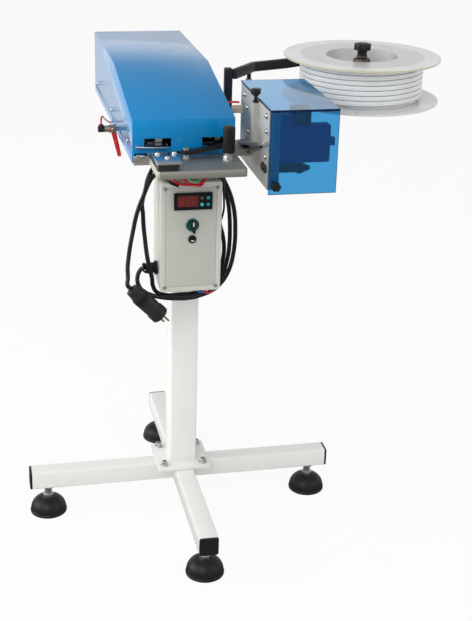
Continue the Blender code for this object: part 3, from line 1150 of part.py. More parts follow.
def guard_knob_place():
    """Where the guard's knob axis meets the guard's front face."""
    return SIDE_PLATE_RIGHT + GUARD_KNOB_INSET, FEEDER_FRONT, FEEDER_BOTTOM + GUARD_KNOB_RISE


def make_feeder_frame(kit):
    """The steel side plate that carries the motor, the rollers and the guard."""
    low = (FEEDER_LEFT, FEEDER_FRONT + GUARD_WALL + SIDE_PLATE_MARGIN, FEEDER_BOTTOM + SIDE_PLATE_MARGIN)
    high = (SIDE_PLATE_RIGHT, FEEDER_BACK - SIDE_PLATE_MARGIN,
            FEEDER_TOP - GUARD_WALL - SIDE_PLATE_TOP_GAP)
    centre, size = span(low, high)
    plate = kit.add_mesh("feeder_side_plate", block(size), centre, STEEL, smooth=False)
    knob_x, _, knob_z = guard_knob_place()
    tab_low = (SIDE_PLATE_RIGHT - SIDE_PLATE_THICK / 2, low[1], low[2])
    tab_high = (SIDE_PLATE_RIGHT + FLANGE_TAB_WIDTH, low[1] + FLANGE_TAB_THICK, low[2] + FLANGE_TAB_HEIGHT)
    centre, size = span(tab_low, tab_high)
    kit.combine(plate, block(size), centre, "UNION")
    bar_back = TENSION_BAR_FRONT + TENSION_BAR_DEPTH
    bar_low = (FEEDER_LEFT - TENSION_BAR_WIDTH, TENSION_BAR_FRONT, BED_TOP + TENSION_BAR_BOTTOM_ABOVE_BED)
    bar_high = (FEEDER_LEFT + SIDE_PLATE_THICK / 2, bar_back, BED_TOP + TENSION_BAR_TOP_ABOVE_BED)
    centre, size = span(bar_low, bar_high)
    kit.combine(plate, block(size), centre, "UNION")
    stud = GUARD_STUD_RADIUS + RUN_GAP
    hole = turned([(stud, -CUT_OVERRUN), (stud, FLANGE_TAB_THICK + CUT_OVERRUN)], "Y", 16)
    kit.combine(plate, hole, (knob_x, low[1], knob_z))
    x, y, z = roller_place()
    shaft = ROLLER_SHAFT_RADIUS + RUN_GAP
    for back in (0.0, 2 * ROLLER_RADIUS + ROLLER_NIP):
        hole = turned([(shaft, -SIDE_PLATE_THICK - CUT_OVERRUN), (shaft, SIDE_PLATE_THICK)], "X", 16)
        kit.combine(plate, hole, (SIDE_PLATE_RIGHT, y + back, z))


def make_rollers(kit):
    """The driven feed roller and the pinch roller that presses the band on it."""
    x, y, z = roller_place()
    shaft_start = -ROLLER_SIDE_GAP - SIDE_PLATE_THICK - SEAT_GAP
    shared = [(ROLLER_SHAFT_RADIUS, shaft_start), (ROLLER_SHAFT_RADIUS, 0.0), (ROLLER_RADIUS, 0.0),
              (ROLLER_RADIUS, ROLLER_LENGTH)]
    stub = [(ROLLER_SHAFT_RADIUS, ROLLER_LENGTH), (ROLLER_SHAFT_RADIUS, ROLLER_LENGTH + ROLLER_STUB_LENGTH)]
    pinch_y = y + 2 * ROLLER_RADIUS + ROLLER_NIP
    kit.add_mesh("pinch_roller", turned(shared + stub, "X", 24), (x, pinch_y, z), BLACK_PLASTIC)
    collar_end = ROLLER_LENGTH + ROLLER_COLLAR_LENGTH
    drive = [(ROLLER_COLLAR_RADIUS, ROLLER_LENGTH), (ROLLER_COLLAR_RADIUS, collar_end),
             (ROLLER_SHAFT_RADIUS, collar_end), (ROLLER_SHAFT_RADIUS, ROLLER_LENGTH + ROLLER_DRIVE_END)]
    kit.add_mesh("feed_roller", turned(shared + drive, "X", 24), (x, y, z), MOTOR_GREY)


def make_motor(kit):
    """The feed motor with its plug socket and its terminal head."""
    left = SIDE_PLATE_RIGHT + SEAT_GAP
    front = FEEDER_FRONT + GUARD_WALL + MOTOR_FRONT_GAP
    bottom = BED_TOP + MOTOR_ABOVE_BED
    low = (left, front, bottom)
    high = (left + MOTOR_WIDTH, front + MOTOR_LENGTH, bottom + MOTOR_HEIGHT)
    centre, size = span(low, high)
    motor = kit.add_mesh("feed_motor", block(size, MOTOR_EDGE), centre, MOTOR_GREY)
    socket_z = high[2] - MOTOR_SOCKET_DROP - MOTOR_SOCKET_SIDE / 2
    socket_low = (high[0] - MOTOR_EDGE, front + MOTOR_EDGE, socket_z - MOTOR_SOCKET_SIDE / 2)
    socket_high = (high[0] + MOTOR_SOCKET_LENGTH - MOTOR_EDGE / 2, front + MOTOR_EDGE + MOTOR_SOCKET_SIDE,
                   socket_z + MOTOR_SOCKET_SIDE / 2)
    centre, size = span(socket_low, socket_high)
    kit.combine(motor, block(size), centre, "UNION")
    head_low = (left + MOTOR_HEAD_LEFT, front + MOTOR_EDGE, high[2] - MOTOR_EDGE)
    head_high = (left + MOTOR_HEAD_LEFT + MOTOR_HEAD_WIDTH, front + MOTOR_EDGE + MOTOR_HEAD_LENGTH,
                 high[2] + MOTOR_HEAD_HEIGHT)
    centre, size = span(head_low, head_high)
    kit.combine(motor, block(size), centre, "UNION")


def make_guard(kit):
    """The see-through guard, a front and a top sheet in one, and its star knob."""
    low = (FEEDER_LEFT, FEEDER_FRONT, FEEDER_BOTTOM)
    high = (FEEDER_RIGHT, FEEDER_BACK, FEEDER_TOP)
    centre, size = span(low, high)
    guard = kit.add_mesh("feeder_guard", block(size), centre, BLUE_CLEAR, smooth=False)
    low = (FEEDER_LEFT - CUT_OVERRUN, FEEDER_FRONT + GUARD_WALL, FEEDER_BOTTOM - CUT_OVERRUN)
    high = (FEEDER_RIGHT + CUT_OVERRUN, FEEDER_BACK + CUT_OVERRUN, FEEDER_TOP - GUARD_WALL)
    centre, size = span(low, high)
    kit.combine(guard, block(size), centre)
    x, y, z = guard_knob_place()
    stud = GUARD_STUD_RADIUS + RUN_GAP
    kit.combine(guard, turned([(stud, -CUT_OVERRUN), (stud, GUARD_WALL + CUT_OVERRUN)], "Y", 16), (x, y, z))
    stud_end = GUARD_WALL + SIDE_PLATE_MARGIN + FLANGE_TAB_THICK
    knob_back = -SEAT_GAP
    loops = [turned_loop(circle(GUARD_STUD_RADIUS, 36), stud_end, "Y"),
             turned_loop(circle(GUARD_STUD_RADIUS, 36), knob_back, "Y"),
             turned_loop(circle(STAR_STEM_RADIUS, 36), knob_back, "Y"),
             turned_loop(circle(STAR_STEM_RADIUS, 36), -STAR_HEIGHT / 3, "Y"),
             turned_loop(star(STAR_RADIUS), -STAR_HEIGHT / 3, "Y"),
             turned_loop(star(STAR_RADIUS), -STAR_HEIGHT, "Y")]
    kit.add_mesh("guard_knob", loft(loops), (x, y, z), BLACK_PLASTIC)


def make_tension_knob(kit):
    """The knob on the bar beside the guard that sets the pinch roller's pressure."""
    place = (FEEDER_LEFT - TENSION_BAR_WIDTH / 2, TENSION_BAR_FRONT + TENSION_BAR_DEPTH / 2,
             BED_TOP + TENSION_BAR_TOP_ABOVE_BED + SEAT_GAP)
    stem = circle(STAR_STEM_RADIUS, 36)
    loops = [turned_loop(stem, 0.0, "Z"), turned_loop(stem, TOP_KNOB_STEM, "Z"),
             turned_loop(star(STAR_RADIUS), TOP_KNOB_STEM, "Z"),
             turned_loop(star(STAR_RADIUS), TOP_KNOB_STEM + STAR_HEIGHT * 2 / 3, "Z"),
             turned_loop(star(STAR_RADIUS * STAR_CROWN_SHARE), TOP_KNOB_STEM + STAR_HEIGHT, "Z")]
    kit.add_mesh("tension_knob", loft(loops), place, BLACK_PLASTIC)


def make_reel_support(kit):
    """The post, and the arm that goes round behind the reel and carries it from below."""
    low = (POST_X - POST_WIDTH / 2, POST_Y - POST_DEPTH / 2, BED_TOP + SEAT_GAP)
    high = (POST_X + POST_WIDTH / 2, POST_Y + POST_DEPTH / 2, BED_TOP + POST_ABOVE_BED)
    centre, size = span(low, high)
    kit.add_mesh("reel_post", block(size, POST_EDGE), centre, BLACK_PAINT)
    arm_top = high[2] - ARM_TOP_DROP
    arm_bottom = arm_top - ARM_HEIGHT
    pad_top = REEL_BOTTOM - SPINDLE_FOOT_HEIGHT - 2 * SEAT_GAP
    pad_bottom = pad_top - ARM_LOWER_HEIGHT
    face_x = high[0] + SEAT_GAP
    start = (face_x + ARM_LEAD, POST_Y - ARM_START_FORWARD)
    back_y = REEL_Y + REEL_RADIUS + ARM_CLEAR_OF_REEL
    route = [(face_x, start[1]), start]
    for across, back in ARM_ROUTE_SHARES:
        route.append((start[0] + (REEL_X - start[0]) * across, start[1] + (back_y - start[1]) * back))
    upper = prism(strip_outline(route, ARM_WIDTH), ARM_HEIGHT)
    arm = kit.add_mesh("reel_arm", upper, (0.0, 0.0, arm_bottom), BLACK_PAINT, smooth=False)
    centre, size = span((REEL_X - ARM_WIDTH / 2, back_y - ARM_WIDTH / 2, pad_bottom),
                        (REEL_X + ARM_WIDTH, back_y + ARM_WIDTH, arm_top))
    kit.combine(arm, block(size), centre, "UNION")
    centre, size = span((REEL_X - ARM_WIDTH, REEL_Y, pad_bottom),
                        (REEL_X + ARM_LOWER_RIGHT, back_y + ARM_WIDTH / 2, pad_top))
    kit.combine(arm, block(size), centre, "UNION")
    pad = turned([(ARM_END_PAD, pad_bottom), (ARM_END_PAD, pad_top)])
    kit.combine(arm, pad, (REEL_X, REEL_Y, 0.0), "UNION")
    foot = [(SPINDLE_FOOT_RADIUS, pad_top + SEAT_GAP), (SPINDLE_FOOT_RADIUS, REEL_BOTTOM - SEAT_GAP),
            (SPINDLE_RADIUS, REEL_BOTTOM - SEAT_GAP), (SPINDLE_RADIUS, hub_top() + SPINDLE_ABOVE_REEL)]
    kit.add_mesh("reel_spindle", turned(foot, steps=24), (REEL_X, REEL_Y, 0.0), BRIGHT_STEEL)


def hub_top():
    """Height of the top of the hub that stands in the upper flange's recess."""
    return REEL_TOP - RECESS_DEPTH + HUB_ABOVE_WEB


def make_reel(kit):
    """The spool with its two flanges and core, the outer layer of band, and the knob on top."""
    bore = SPINDLE_RADIUS + BORE_GAP
    place = (REEL_X, REEL_Y, REEL_BOTTOM)
    top = REEL_TOP - REEL_BOTTOM
    profile = [(bore, 0.0), (REEL_RADIUS, 0.0), (REEL_RADIUS, REEL_FLANGE_THICK), (bore, REEL_FLANGE_THICK)]
    kit.add_mesh("spool_lower_flange", turned(profile, steps=64, closed=True), place, CLEAR_PLASTIC)
    flange_bottom = top - REEL_FLANGE_THICK
    web = top - RECESS_DEPTH
    cup = RECESS_RADIUS + RECESS_WALL
    hub = hub_top() - REEL_BOTTOM
    profile = [(bore, web - RECESS_WALL), (cup, web - RECESS_WALL), (cup, flange_bottom),
               (REEL_RADIUS, flange_bottom), (REEL_RADIUS, top), (RECESS_RADIUS, top), (RECESS_RADIUS, web),
               (HUB_RADIUS, web), (HUB_RADIUS, hub), (bore, hub)]
    kit.add_mesh("spool_upper_flange", turned(profile, steps=64, closed=True), place, CLEAR_PLASTIC)
    core = WINDING_RADIUS - BAND_DIAMETER - SEAT_GAP
    core_bottom = REEL_FLANGE_THICK + SEAT_GAP
    pocket_floor = web - RECESS_WALL - SEAT_GAP
    profile = [(bore, core_bottom), (core, core_bottom), (core, flange_bottom - SEAT_GAP),
               (cup + SEAT_GAP, flange_bottom - SEAT_GAP), (cup + SEAT_GAP, pocket_floor),
               (bore, pocket_floor)]
    kit.add_mesh("spool_core", turned(profile, steps=48, closed=True), place, CORE_GREY)
    points, gap = winding_points()
    print("band winding least gap", round(gap * 1000, 3), "mm")
    data = tube_curve("band_winding", points, BAND_DIAMETER / 2, 1)
    kit.add_object("band_winding", data, place, BAND_WHITE)
    neck_bottom = hub + SEAT_GAP
    neck_top = neck_bottom + REEL_KNOB_NECK
    knob_top = neck_top + REEL_KNOB_HEIGHT
    pocket_top = hub + SPINDLE_ABOVE_REEL + SEAT_GAP
    knob = star(REEL_KNOB_RADIUS, 8, 48)
    crown = star(REEL_KNOB_RADIUS - REEL_KNOB_EDGE, 8, 48)
    loops = [turned_loop(circle(bore, 48), pocket_top, "Z"), turned_loop(circle(bore, 48), neck_bottom, "Z"),
             turned_loop(circle(REEL_KNOB_NECK_RADIUS, 48), neck_bottom, "Z"),
             turned_loop(circle(REEL_KNOB_NECK_RADIUS, 48), neck_top, "Z"), turned_loop(knob, neck_top, "Z"),
             turned_loop(knob, knob_top - REEL_KNOB_EDGE, "Z"), turned_loop(crown, knob_top, "Z")]
    kit.add_mesh("reel_knob", loft(loops), place, BLACK_PLASTIC)


def winding_points():
    """Helix of the band's outer layer between the flanges, and its least gap to itself."""
    bottom = REEL_FLANGE_THICK + SEAT_GAP + BAND_DIAMETER / 2
    top = REEL_FLANGE_SPACING - SEAT_GAP - BAND_DIAMETER / 2
    radius = (WINDING_RADIUS - BAND_DIAMETER / 2) / math.cos(math.pi / BAND_TURN_POINTS)
    turns = BAND_TURNS - 1
    rise = (top - bottom) / turns
    steps = BAND_TURN_POINTS * turns
    points = []
    for step in range(steps + 1):
        turn = math.tau * step / BAND_TURN_POINTS
        height = bottom + rise * step / BAND_TURN_POINTS
        points.append((radius * math.cos(turn), radius * math.sin(turn), height))
    points.insert(0, (radius, -BAND_DIAMETER, bottom))
    points.append((radius, BAND_DIAMETER, top))
    return points, rise - BAND_DIAMETER


def build():
    """Make every piece of the clipper."""
    clear_scene()
    kit = Assembly()
    make_base(kit)
    make_end_caps(kit)
    make_feet(kit)
    make_column(kit)
    make_control_box(kit)
    make_controller(kit)
    make_selector(kit)
    make_gland(kit)
    make_lead(kit)
    make_bed(kit)
    make_tray(kit)
    make_cover(kit)
    make_closing_unit(kit)
    make_fingers(kit)
    make_guide_block(kit)
    make_trigger(kit)
    make_grip(kit)
    make_air_valve(kit)
    make_feeder_frame(kit)
    make_rollers(kit)
    make_motor(kit)
    make_guard(kit)
    make_tension_knob(kit)
    make_reel_support(kit)
    make_reel(kit)


build()
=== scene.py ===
"""The looks of the bag clipper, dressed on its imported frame. Lengths are in metres."""

import math

import bmesh
import bpy
from mathutils import Euler, Matrix, Vector


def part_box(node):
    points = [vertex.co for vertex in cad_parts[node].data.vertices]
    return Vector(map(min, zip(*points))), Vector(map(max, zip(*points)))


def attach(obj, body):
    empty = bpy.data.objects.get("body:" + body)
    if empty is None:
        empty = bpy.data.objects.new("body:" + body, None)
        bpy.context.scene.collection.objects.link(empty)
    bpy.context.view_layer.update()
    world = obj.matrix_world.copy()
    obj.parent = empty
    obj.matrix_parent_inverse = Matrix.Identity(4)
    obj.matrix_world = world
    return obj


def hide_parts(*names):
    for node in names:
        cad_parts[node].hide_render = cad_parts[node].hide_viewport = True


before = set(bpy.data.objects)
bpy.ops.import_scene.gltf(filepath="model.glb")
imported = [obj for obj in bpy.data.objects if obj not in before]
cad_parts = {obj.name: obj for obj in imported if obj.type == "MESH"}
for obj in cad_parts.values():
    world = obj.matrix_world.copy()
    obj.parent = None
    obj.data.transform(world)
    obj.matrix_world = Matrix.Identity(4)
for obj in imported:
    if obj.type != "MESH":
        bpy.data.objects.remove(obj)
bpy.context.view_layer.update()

# The column's axis, from which the other places are measured
COLUMN_LOW, COLUMN_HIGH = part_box("column")
AXIS_X = (COLUMN_LOW.x + COLUMN_HIGH.x) / 2
AXIS_Y = (COLUMN_LOW.y + COLUMN_HIGH.y) / 2
SEAT = 0.0004
FINE_STEPS = 64
SMALL_STEPS = 24

# The photograph's camera
PICTURE_WIDTH = 472
PICTURE_HEIGHT = 621
CAMERA_BACK = 2.47963
CAMERA_LEFT = 0.45382
CAMERA_HEIGHT = 1.52119
CAMERA_YAW = math.radians(12.70)
CAMERA_PITCH = math.radians(-21.12)
CAMERA_ROLL = math.radians(1.61)
FOCAL_PIXELS = 1273.98
AIM_PIXEL = (231.22, 274.38)
SENSOR = 36.0


def at(x, y, z):
    """A place measured from the foot of the column's axis."""
    return Vector((AXIS_X + x, AXIS_Y + y, z))


def middle(node):
    """The centre of a node's box."""
    low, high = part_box(node)
    return (low + high) / 2


class Amount:
    """A shader value that takes part in expressions."""

    def __init__(self, finish, socket):
        self.finish = finish
        self.socket = socket

    def maths(self, operation, first, second):
        """One Math node on two values."""
        return self.finish.node("ShaderNodeMath", {"operation": operation}, {0: first, 1: second})

    def __add__(self, other):
        return self.maths("ADD", self, other)

    def __sub__(self, other):
        return self.maths("SUBTRACT", self, other)

    def __rsub__(self, other):
        return self.maths("SUBTRACT", other, self)

    def __mul__(self, other):
        return self.maths("MULTIPLY", self, other)

    __radd__ = __add__
    __rmul__ = __mul__


class Finish:
    """A Principled material that is filled in with expressions."""

    def __init__(self, name, colour, roughness=0.5, metallic=0.0, coat=0.0, alpha=1.0, shine=0.5):
        self.material = bpy.data.materials.new(name)
        self.material.use_nodes = True
        self.tree = self.material.node_tree
        self.shader = self.tree.nodes["Principled BSDF"]
        self.set("Base Color", (*colour, 1.0))
        self.set("Roughness", roughness)
        self.set("Metallic", metallic)
        self.set("Coat Weight", coat)
        self.set("Alpha", alpha)
        self.set("Specular IOR Level", shine)
        self.set("Coat Roughness", 0.12)
        coordinates = self.tree.nodes.new("ShaderNodeTexCoord")
        self.place = coordinates.outputs["Object"]

    def node(self, kind, settings, sockets, output=0):
        """Any node: its settings first, then the values or links of its sockets."""
        made = self.tree.nodes.new(kind)
        for key, value in settings.items():
            setattr(made, key, value)
        for key, value in sockets.items():
            source = value.socket if isinstance(value, Amount) else value
            if isinstance(source, bpy.types.NodeSocket):
                self.tree.links.new(source, made.inputs[key])
            else:
                made.inputs[key].default_value = source
        return Amount(self, made.outputs[output])

    def set(self, socket, value):
        """Give the shader's own socket a value or a link."""
        if isinstance(value, Amount):
            self.tree.links.new(value.socket, self.shader.inputs[socket])
        else:
            self.shader.inputs[socket].default_value = value
        return self

    def stretched(self, stretch=(1, 1, 1), centre=(0, 0, 0)):
        """Object coordinates measured from a centre and stretched."""
        moved = [-part * size for part, size in zip(centre, stretch)]
        return self.node("ShaderNodeMapping", {}, {"Vector": self.place, "Location": moved, "Scale": stretch})

    def noise(self, scale, detail=3.0, stretch=(1, 1, 1)):
        """Cloudy variation from 0 to 1."""
        return self.node("ShaderNodeTexNoise", {}, {"Vector": self.stretched(stretch), "Scale": scale, "Detail": detail})

    def step(self, value, start, end):
        """A value spread from 0 at start to 1 at end."""
        limits = {"Value": value, "From Min": start, "From Max": end}
        return self.node("ShaderNodeMapRange", {"clamp": True}, limits)

    def tint(self, factor, first, second):
        """A colour between two others."""
        colours = [part if isinstance(part, Amount) else (*part, 1.0) for part in (first, second)]
        return self.node("ShaderNodeMix", {"data_type": "RGBA"}, {0: factor, 6: colours[0], 7: colours[1]}, 2)

    def upward(self):
        """How far the surface faces up, from -1 to 1."""
        normal = self.node("ShaderNodeNewGeometry", {}, {}, 1)
        return self.node("ShaderNodeSeparateXYZ", {}, {0: normal}, 2)

    def radius(self, centre, axis="Z"):
        """Distance from an axis through a centre."""
        flat = [0 if letter == axis else 1 for letter in "XYZ"]
        return self.node("ShaderNodeVectorMath", {"operation": "LENGTH"}, {0: self.stretched(flat, centre)}, 1)

    def bump(self, height, depth, strength=1.0):
        """Relief of a depth in metres."""
        return self.set("Normal", self.node("ShaderNodeBump", {}, {"Height": height, "Distance": depth,
                                                                  "Strength": strength}))


def powder_coat(name, colour, dark, coat, shine=0.5):
    """Powder-coated metal: orange peel, faint mottling and handling marks."""
    finish = Finish(name, colour, coat=coat, shine=shine)
    marks = finish.step(finish.noise(9.0, 5.0), 0.55, 0.8)
    cloud = finish.noise(40.0, 3.0)
    finish.set("Base Color", finish.tint(marks * 0.5 + cloud * 0.2, colour, dark))
    finish.set("Roughness", cloud * 0.12 + marks * 0.12 + 0.30)
    finish.bump(finish.noise(650.0, 2.0), 0.00007)
    return finish.material


def steel_shaded_by_facing(name, top, side, roughness=0.3):
    """Machined steel: a ground top and sawn sides, with lines along X and stains; faces that point up get the top
    colour and the others the side colour, a painted light and shade set by which way a face points.
    """
    finish = Finish(name, top, metallic=1.0)
    lines = finish.noise(60.0, 4.0, (1.0, 40.0, 40.0))
    stains = finish.step(finish.noise(14.0, 6.0), 0.45, 0.75)
    # painted light and shade: the top colour on faces that point up, the side colour on the rest
    facing = finish.step(finish.upward(), 0.55, 0.9)
    faces = finish.tint(facing, side, top)
    darker = [part * 0.72 for part in top]
    finish.set("Base Color", finish.tint(lines * 0.25 + stains * 0.35, faces, darker))
    finish.set("Roughness", lines * 0.14 + stains * 0.12 + (roughness - 0.06))
    finish.bump(lines, 0.00004)
    return finish.material


def bright_metal(name, colour, roughness=0.22):
    """Plated or polished metal with faint stains."""
    finish = Finish(name, colour, roughness, 1.0)
    stains = finish.noise(70.0, 5.0)
    finish.set("Base Color", finish.tint(stains * 0.4, colour, [part * 0.65 for part in colour]))
    finish.set("Roughness", stains * 0.2 + (roughness - 0.08))
    finish.bump(finish.noise(900.0), 0.00001)
    return finish.material


def moulded(name, colour, roughness=0.5, grain=1400.0, depth=0.00003, coat=0.0, shine=0.5):
    """Moulded plastic or rubber with a fine spark-eroded grain."""
    finish = Finish(name, colour, roughness, coat=coat, shine=shine)
    cloud = finish.noise(30.0, 4.0)
    finish.set("Base Color", finish.tint(cloud * 0.35, colour, [part * 0.82 for part in colour]))
    finish.set("Roughness", cloud * 0.14 + (roughness - 0.07))
    finish.bump(finish.noise(grain, 1.0), depth)
    return finish.material


def clear_sheet(name, colour, passing=1.0, roughness=0.03):
    """Tinted acrylic with faint wipe marks."""
    finish = Finish(name, colour, roughness)
    finish.set("Transmission Weight", passing)
    finish.set("IOR", 1.45)
    wipes = finish.noise(12.0, 5.0, (1.0, 1.0, 3.0))
    finish.set("Roughness", wipes * 0.03 + roughness)
    finish.set("Base Color", finish.tint(wipes * 0.3, colour, [part * 0.9 for part in colour]))
    return finish.material


def spool_sheet(name, centre, rim_radius, rim_colour, band_shadow_share):
    """Milky flange with a painted shadow of the wound band, a darker grey inside the band's radius, and the colour of
    its cut rim.
    """
    colour = (0.86, 0.86, 0.85)
    finish = Finish(name, colour, 0.28, coat=0.3)
    reach = finish.radius(centre)
    rim = finish.step(reach, rim_radius - 0.0013, rim_radius - 0.0006)
    # painted shadow of the band: a darker grey inside a radius of 0.128 to 0.134 m
    inner = finish.step(reach, 0.134, 0.128)
    cloud = finish.noise(16.0, 4.0)
    scuffs = finish.tint(cloud * 0.3, colour, (0.66, 0.66, 0.65))
    with_band_shadow = finish.tint(inner * band_shadow_share, scuffs, (0.46, 0.47, 0.48))
    finish.set("Base Color", finish.tint(rim, with_band_shadow, rim_colour))
    finish.set("Alpha", rim * 0.10 + 0.90)
    finish.set("Roughness", cloud * 0.2 + 0.2)
    return finish.material


def glow(name, colour, strength):
    """A lit display segment."""
    finish = Finish(name, colour, 0.4)
    finish.set("Emission Color", (*colour, 1.0))
    finish.set("Emission Strength", strength)
    return finish.material


WHITE = powder_coat("white_powder_coat", (0.86, 0.86, 0.82), (0.74, 0.74, 0.70), 0.25)
BLUE = powder_coat("blue_powder_coat", (0.001, 0.24, 0.57), (0.001, 0.21, 0.52), 0.8, 0.12)
BLACK_PAINT = powder_coat("black_powder_coat", (0.012, 0.012, 0.014), (0.024, 0.023, 0.022), 0.15, 0.3)
# dark blue for the painted shadow in the seam under the cover
SEAM_SHADOW_BLUE = powder_coat("seam_shadow_blue", (0.002, 0.05, 0.20), (0.002, 0.04, 0.16), 0.1, 0.1)
# these four finishes get their top colour on faces that point up and their side colour elsewhere: painted light and
# shade by facing
TABLE_STEEL = steel_shaded_by_facing("ground_table_steel", (0.45, 0.47, 0.46), (0.70, 0.68, 0.61), 0.50)
BLOCK_STEEL = steel_shaded_by_facing("blackened_block_steel", (0.10, 0.09, 0.09), (0.11, 0.10, 0.10), 0.4)
PLATE_STEEL = steel_shaded_by_facing("rolled_plate_steel", (0.60, 0.60, 0.58), (0.66, 0.66, 0.63), 0.62)
BAR_ALUMINIUM = steel_shaded_by_facing("milled_aluminium", (0.72, 0.71, 0.66), (0.68, 0.66, 0.60), 0.38)
BRIGHT = bright_metal("polished_steel", (0.72, 0.73, 0.74))
ZINC = bright_metal("zinc_plate", (0.66, 0.66, 0.64), 0.3)
HUB_BROWN = bright_metal("bronze_hub", (0.15, 0.125, 0.105), 0.42)
NICKEL = bright_metal("nickelled_brass", (0.62, 0.55, 0.42), 0.28)
BOX_GREY = moulded("box_grey_moulding", (0.52, 0.53, 0.475), 0.45, 1100.0, 0.00004)
BOX_RIM = moulded("box_rim_moulding", (0.60, 0.61, 0.55), 0.45, 1100.0, 0.00004)
BLACK = moulded("black_moulding", (0.012, 0.012, 0.014), 0.42, shine=0.3)
BEZEL = moulded("controller_moulding", (0.006, 0.010, 0.013), 0.3, shine=0.25)
RUBBER = moulded("lead_rubber", (0.008, 0.008, 0.010), 0.38, 2200.0, 0.00002, 0.1, 0.35)
PLUG_BLACK = moulded("plug_rubber", (0.020, 0.020, 0.024), 0.5, 1800.0, 0.00004, 0.0, 0.35)
TEAL = moulded("teal_moulding", (0.004, 0.11, 0.11), 0.35, coat=0.2, shine=0.3)
CYAN_KEY = moulded("cyan_key", (0.02, 0.62, 0.66), 0.35)
TEAL_KEY = moulded("teal_key", (0.01, 0.30, 0.34), 0.35)
DARK_KEY = moulded("dark_key", (0.10, 0.075, 0.085), 0.4)
SCREW_GREY = moulded("screw_grey", (0.25, 0.245, 0.215), 0.5)
IVORY = moulded("ivory_moulding", (0.78, 0.78, 0.74), 0.35)
RED = moulded("red_coating", (0.62, 0.012, 0.016), 0.3, coat=0.5)
GREEN = moulded("green_tube", (0.12, 0.50, 0.22), 0.35)
BLUE_TUBE = moulded("blue_tube", (0.03, 0.12, 0.50), 0.3)
TAN = moulded("tan_bracket", (0.42, 0.36, 0.28), 0.5)
MOTOR_GREY = powder_coat("motor_enamel", (0.08, 0.07, 0.30), (0.07, 0.065, 0.24), 0.2)
BAND = moulded("band_plastic", (0.79, 0.81, 0.81), 0.34, 500.0, 0.00005, 0.2)
CORE = moulded("core_board", (0.50, 0.48, 0.44), 0.7)
GUARD_BLUE = clear_sheet("blue_acrylic", (0.065, 0.36, 0.70), 0.94)
GUARD_EDGE = clear_sheet("blue_acrylic_edge", (0.003, 0.010, 0.055), 0.0, 0.2)
DISPLAY_RED = clear_sheet("display_filter", (0.15, 0.016, 0.016), 0.0, 0.25)
SEGMENT_RED = glow("display_segment", (0.24, 0.035, 0.026), 0.12)


def joined(shapes):
    """Several bmeshes as one."""
    whole = bmesh.new()
    for shape in shapes:
        mesh = bpy.data.meshes.new("shape")
        shape.to_mesh(mesh)
        shape.free()
        whole.from_mesh(mesh)
        bpy.data.meshes.remove(mesh)
    return whole


def bevelled(bm, width, segments=2, angle=math.radians(30.0)):
    """Round the sharp edges of a bmesh."""
    sharp = [edge for edge in bm.edges if edge.is_manifold and edge.calc_face_angle(0.0) > angle]
    bmesh.ops.bevel(bm, geom=sharp, offset=width, segments=segments, profile=0.5, affect="EDGES",
                    clamp_overlap=True, material=-1)
    return bm


def block(low, high, edge=0.0005, segments=2):
    """A box between two corners with rounded edges."""
    bm = bmesh.new()
    bmesh.ops.create_cube(bm, size=1.0)
    size = [b - a for a, b in zip(low, high)]
    bmesh.ops.scale(bm, verts=bm.verts, vec=size)
    bmesh.ops.translate(bm, verts=bm.verts, vec=[(a + b) / 2 for a, b in zip(low, high)])
    if edge > 0:
        bevelled(bm, edge, segments)
    return bm


def aimed(bm, place, axis="Z", turn=0.0):
    """Turn a shape made along +Z to an axis and move it to its place."""
    directions = {"X": (1, 0, 0), "-X": (-1, 0, 0), "Y": (0, 1, 0), "-Y": (0, -1, 0), "Z": (0, 0, 1), "-Z": (0, 0, -1)}
    target = Vector(directions[axis]) if isinstance(axis, str) else Vector(axis).normalized()
    spin = Matrix.Rotation(turn, 3, "Z")
    tilt = Vector((0, 0, 1)).rotation_difference(target).to_matrix()
    bmesh.ops.rotate(bm, verts=bm.verts, cent=(0, 0, 0), matrix=tilt @ spin)
    bmesh.ops.translate(bm, verts=bm.verts, vec=place)
    return bm


def turned(profile, steps=FINE_STEPS, closed=False):
    """A round shape spun from (radius, height) pairs about Z."""
    bm = bmesh.new()
    points = [bm.verts.new((radius, 0.0, height)) for radius, height in profile]
    for first, second in zip(points, points[1:]):
        bm.edges.new((first, second))
    if closed:
        bm.edges.new((points[-1], points[0]))
    bmesh.ops.spin(bm, geom=bm.verts[:] + bm.edges[:], cent=(0, 0, 0), axis=(0, 0, 1), angle=math.tau,
                   steps=steps, use_merge=True, use_duplicate=False)
    bmesh.ops.remove_doubles(bm, verts=bm.verts, dist=1e-6)
    return bm


def hexed(bm, radius):
    """Draw the points at one radius in to a hexagon's sides."""
    flat = math.pi / 6
    for point in bm.verts:
        reach = math.hypot(point.co.x, point.co.y)
        if abs(reach - radius) < 1e-5:
            within = (math.atan2(point.co.y, point.co.x) % (2 * flat)) - flat
            share = math.cos(flat) / math.cos(within)
            point.co.x *= share
            point.co.y *= share
    return bm


def slab(outline, bottom, top, edge=0.0):
    """A flat outline in the plan raised between two heights."""
    bm = bmesh.new()
    face = bm.faces.new([bm.verts.new((x, y, bottom)) for x, y in outline])
    raised = bmesh.ops.extrude_face_region(bm, geom=[face])
    top_points = [item for item in raised["geom"] if isinstance(item, bmesh.types.BMVert)]
    bmesh.ops.translate(bm, verts=top_points, vec=(0, 0, top - bottom))
    bmesh.ops.recalc_face_normals(bm, faces=bm.faces)
    if edge > 0:
        bevelled(bm, edge)
    return bm


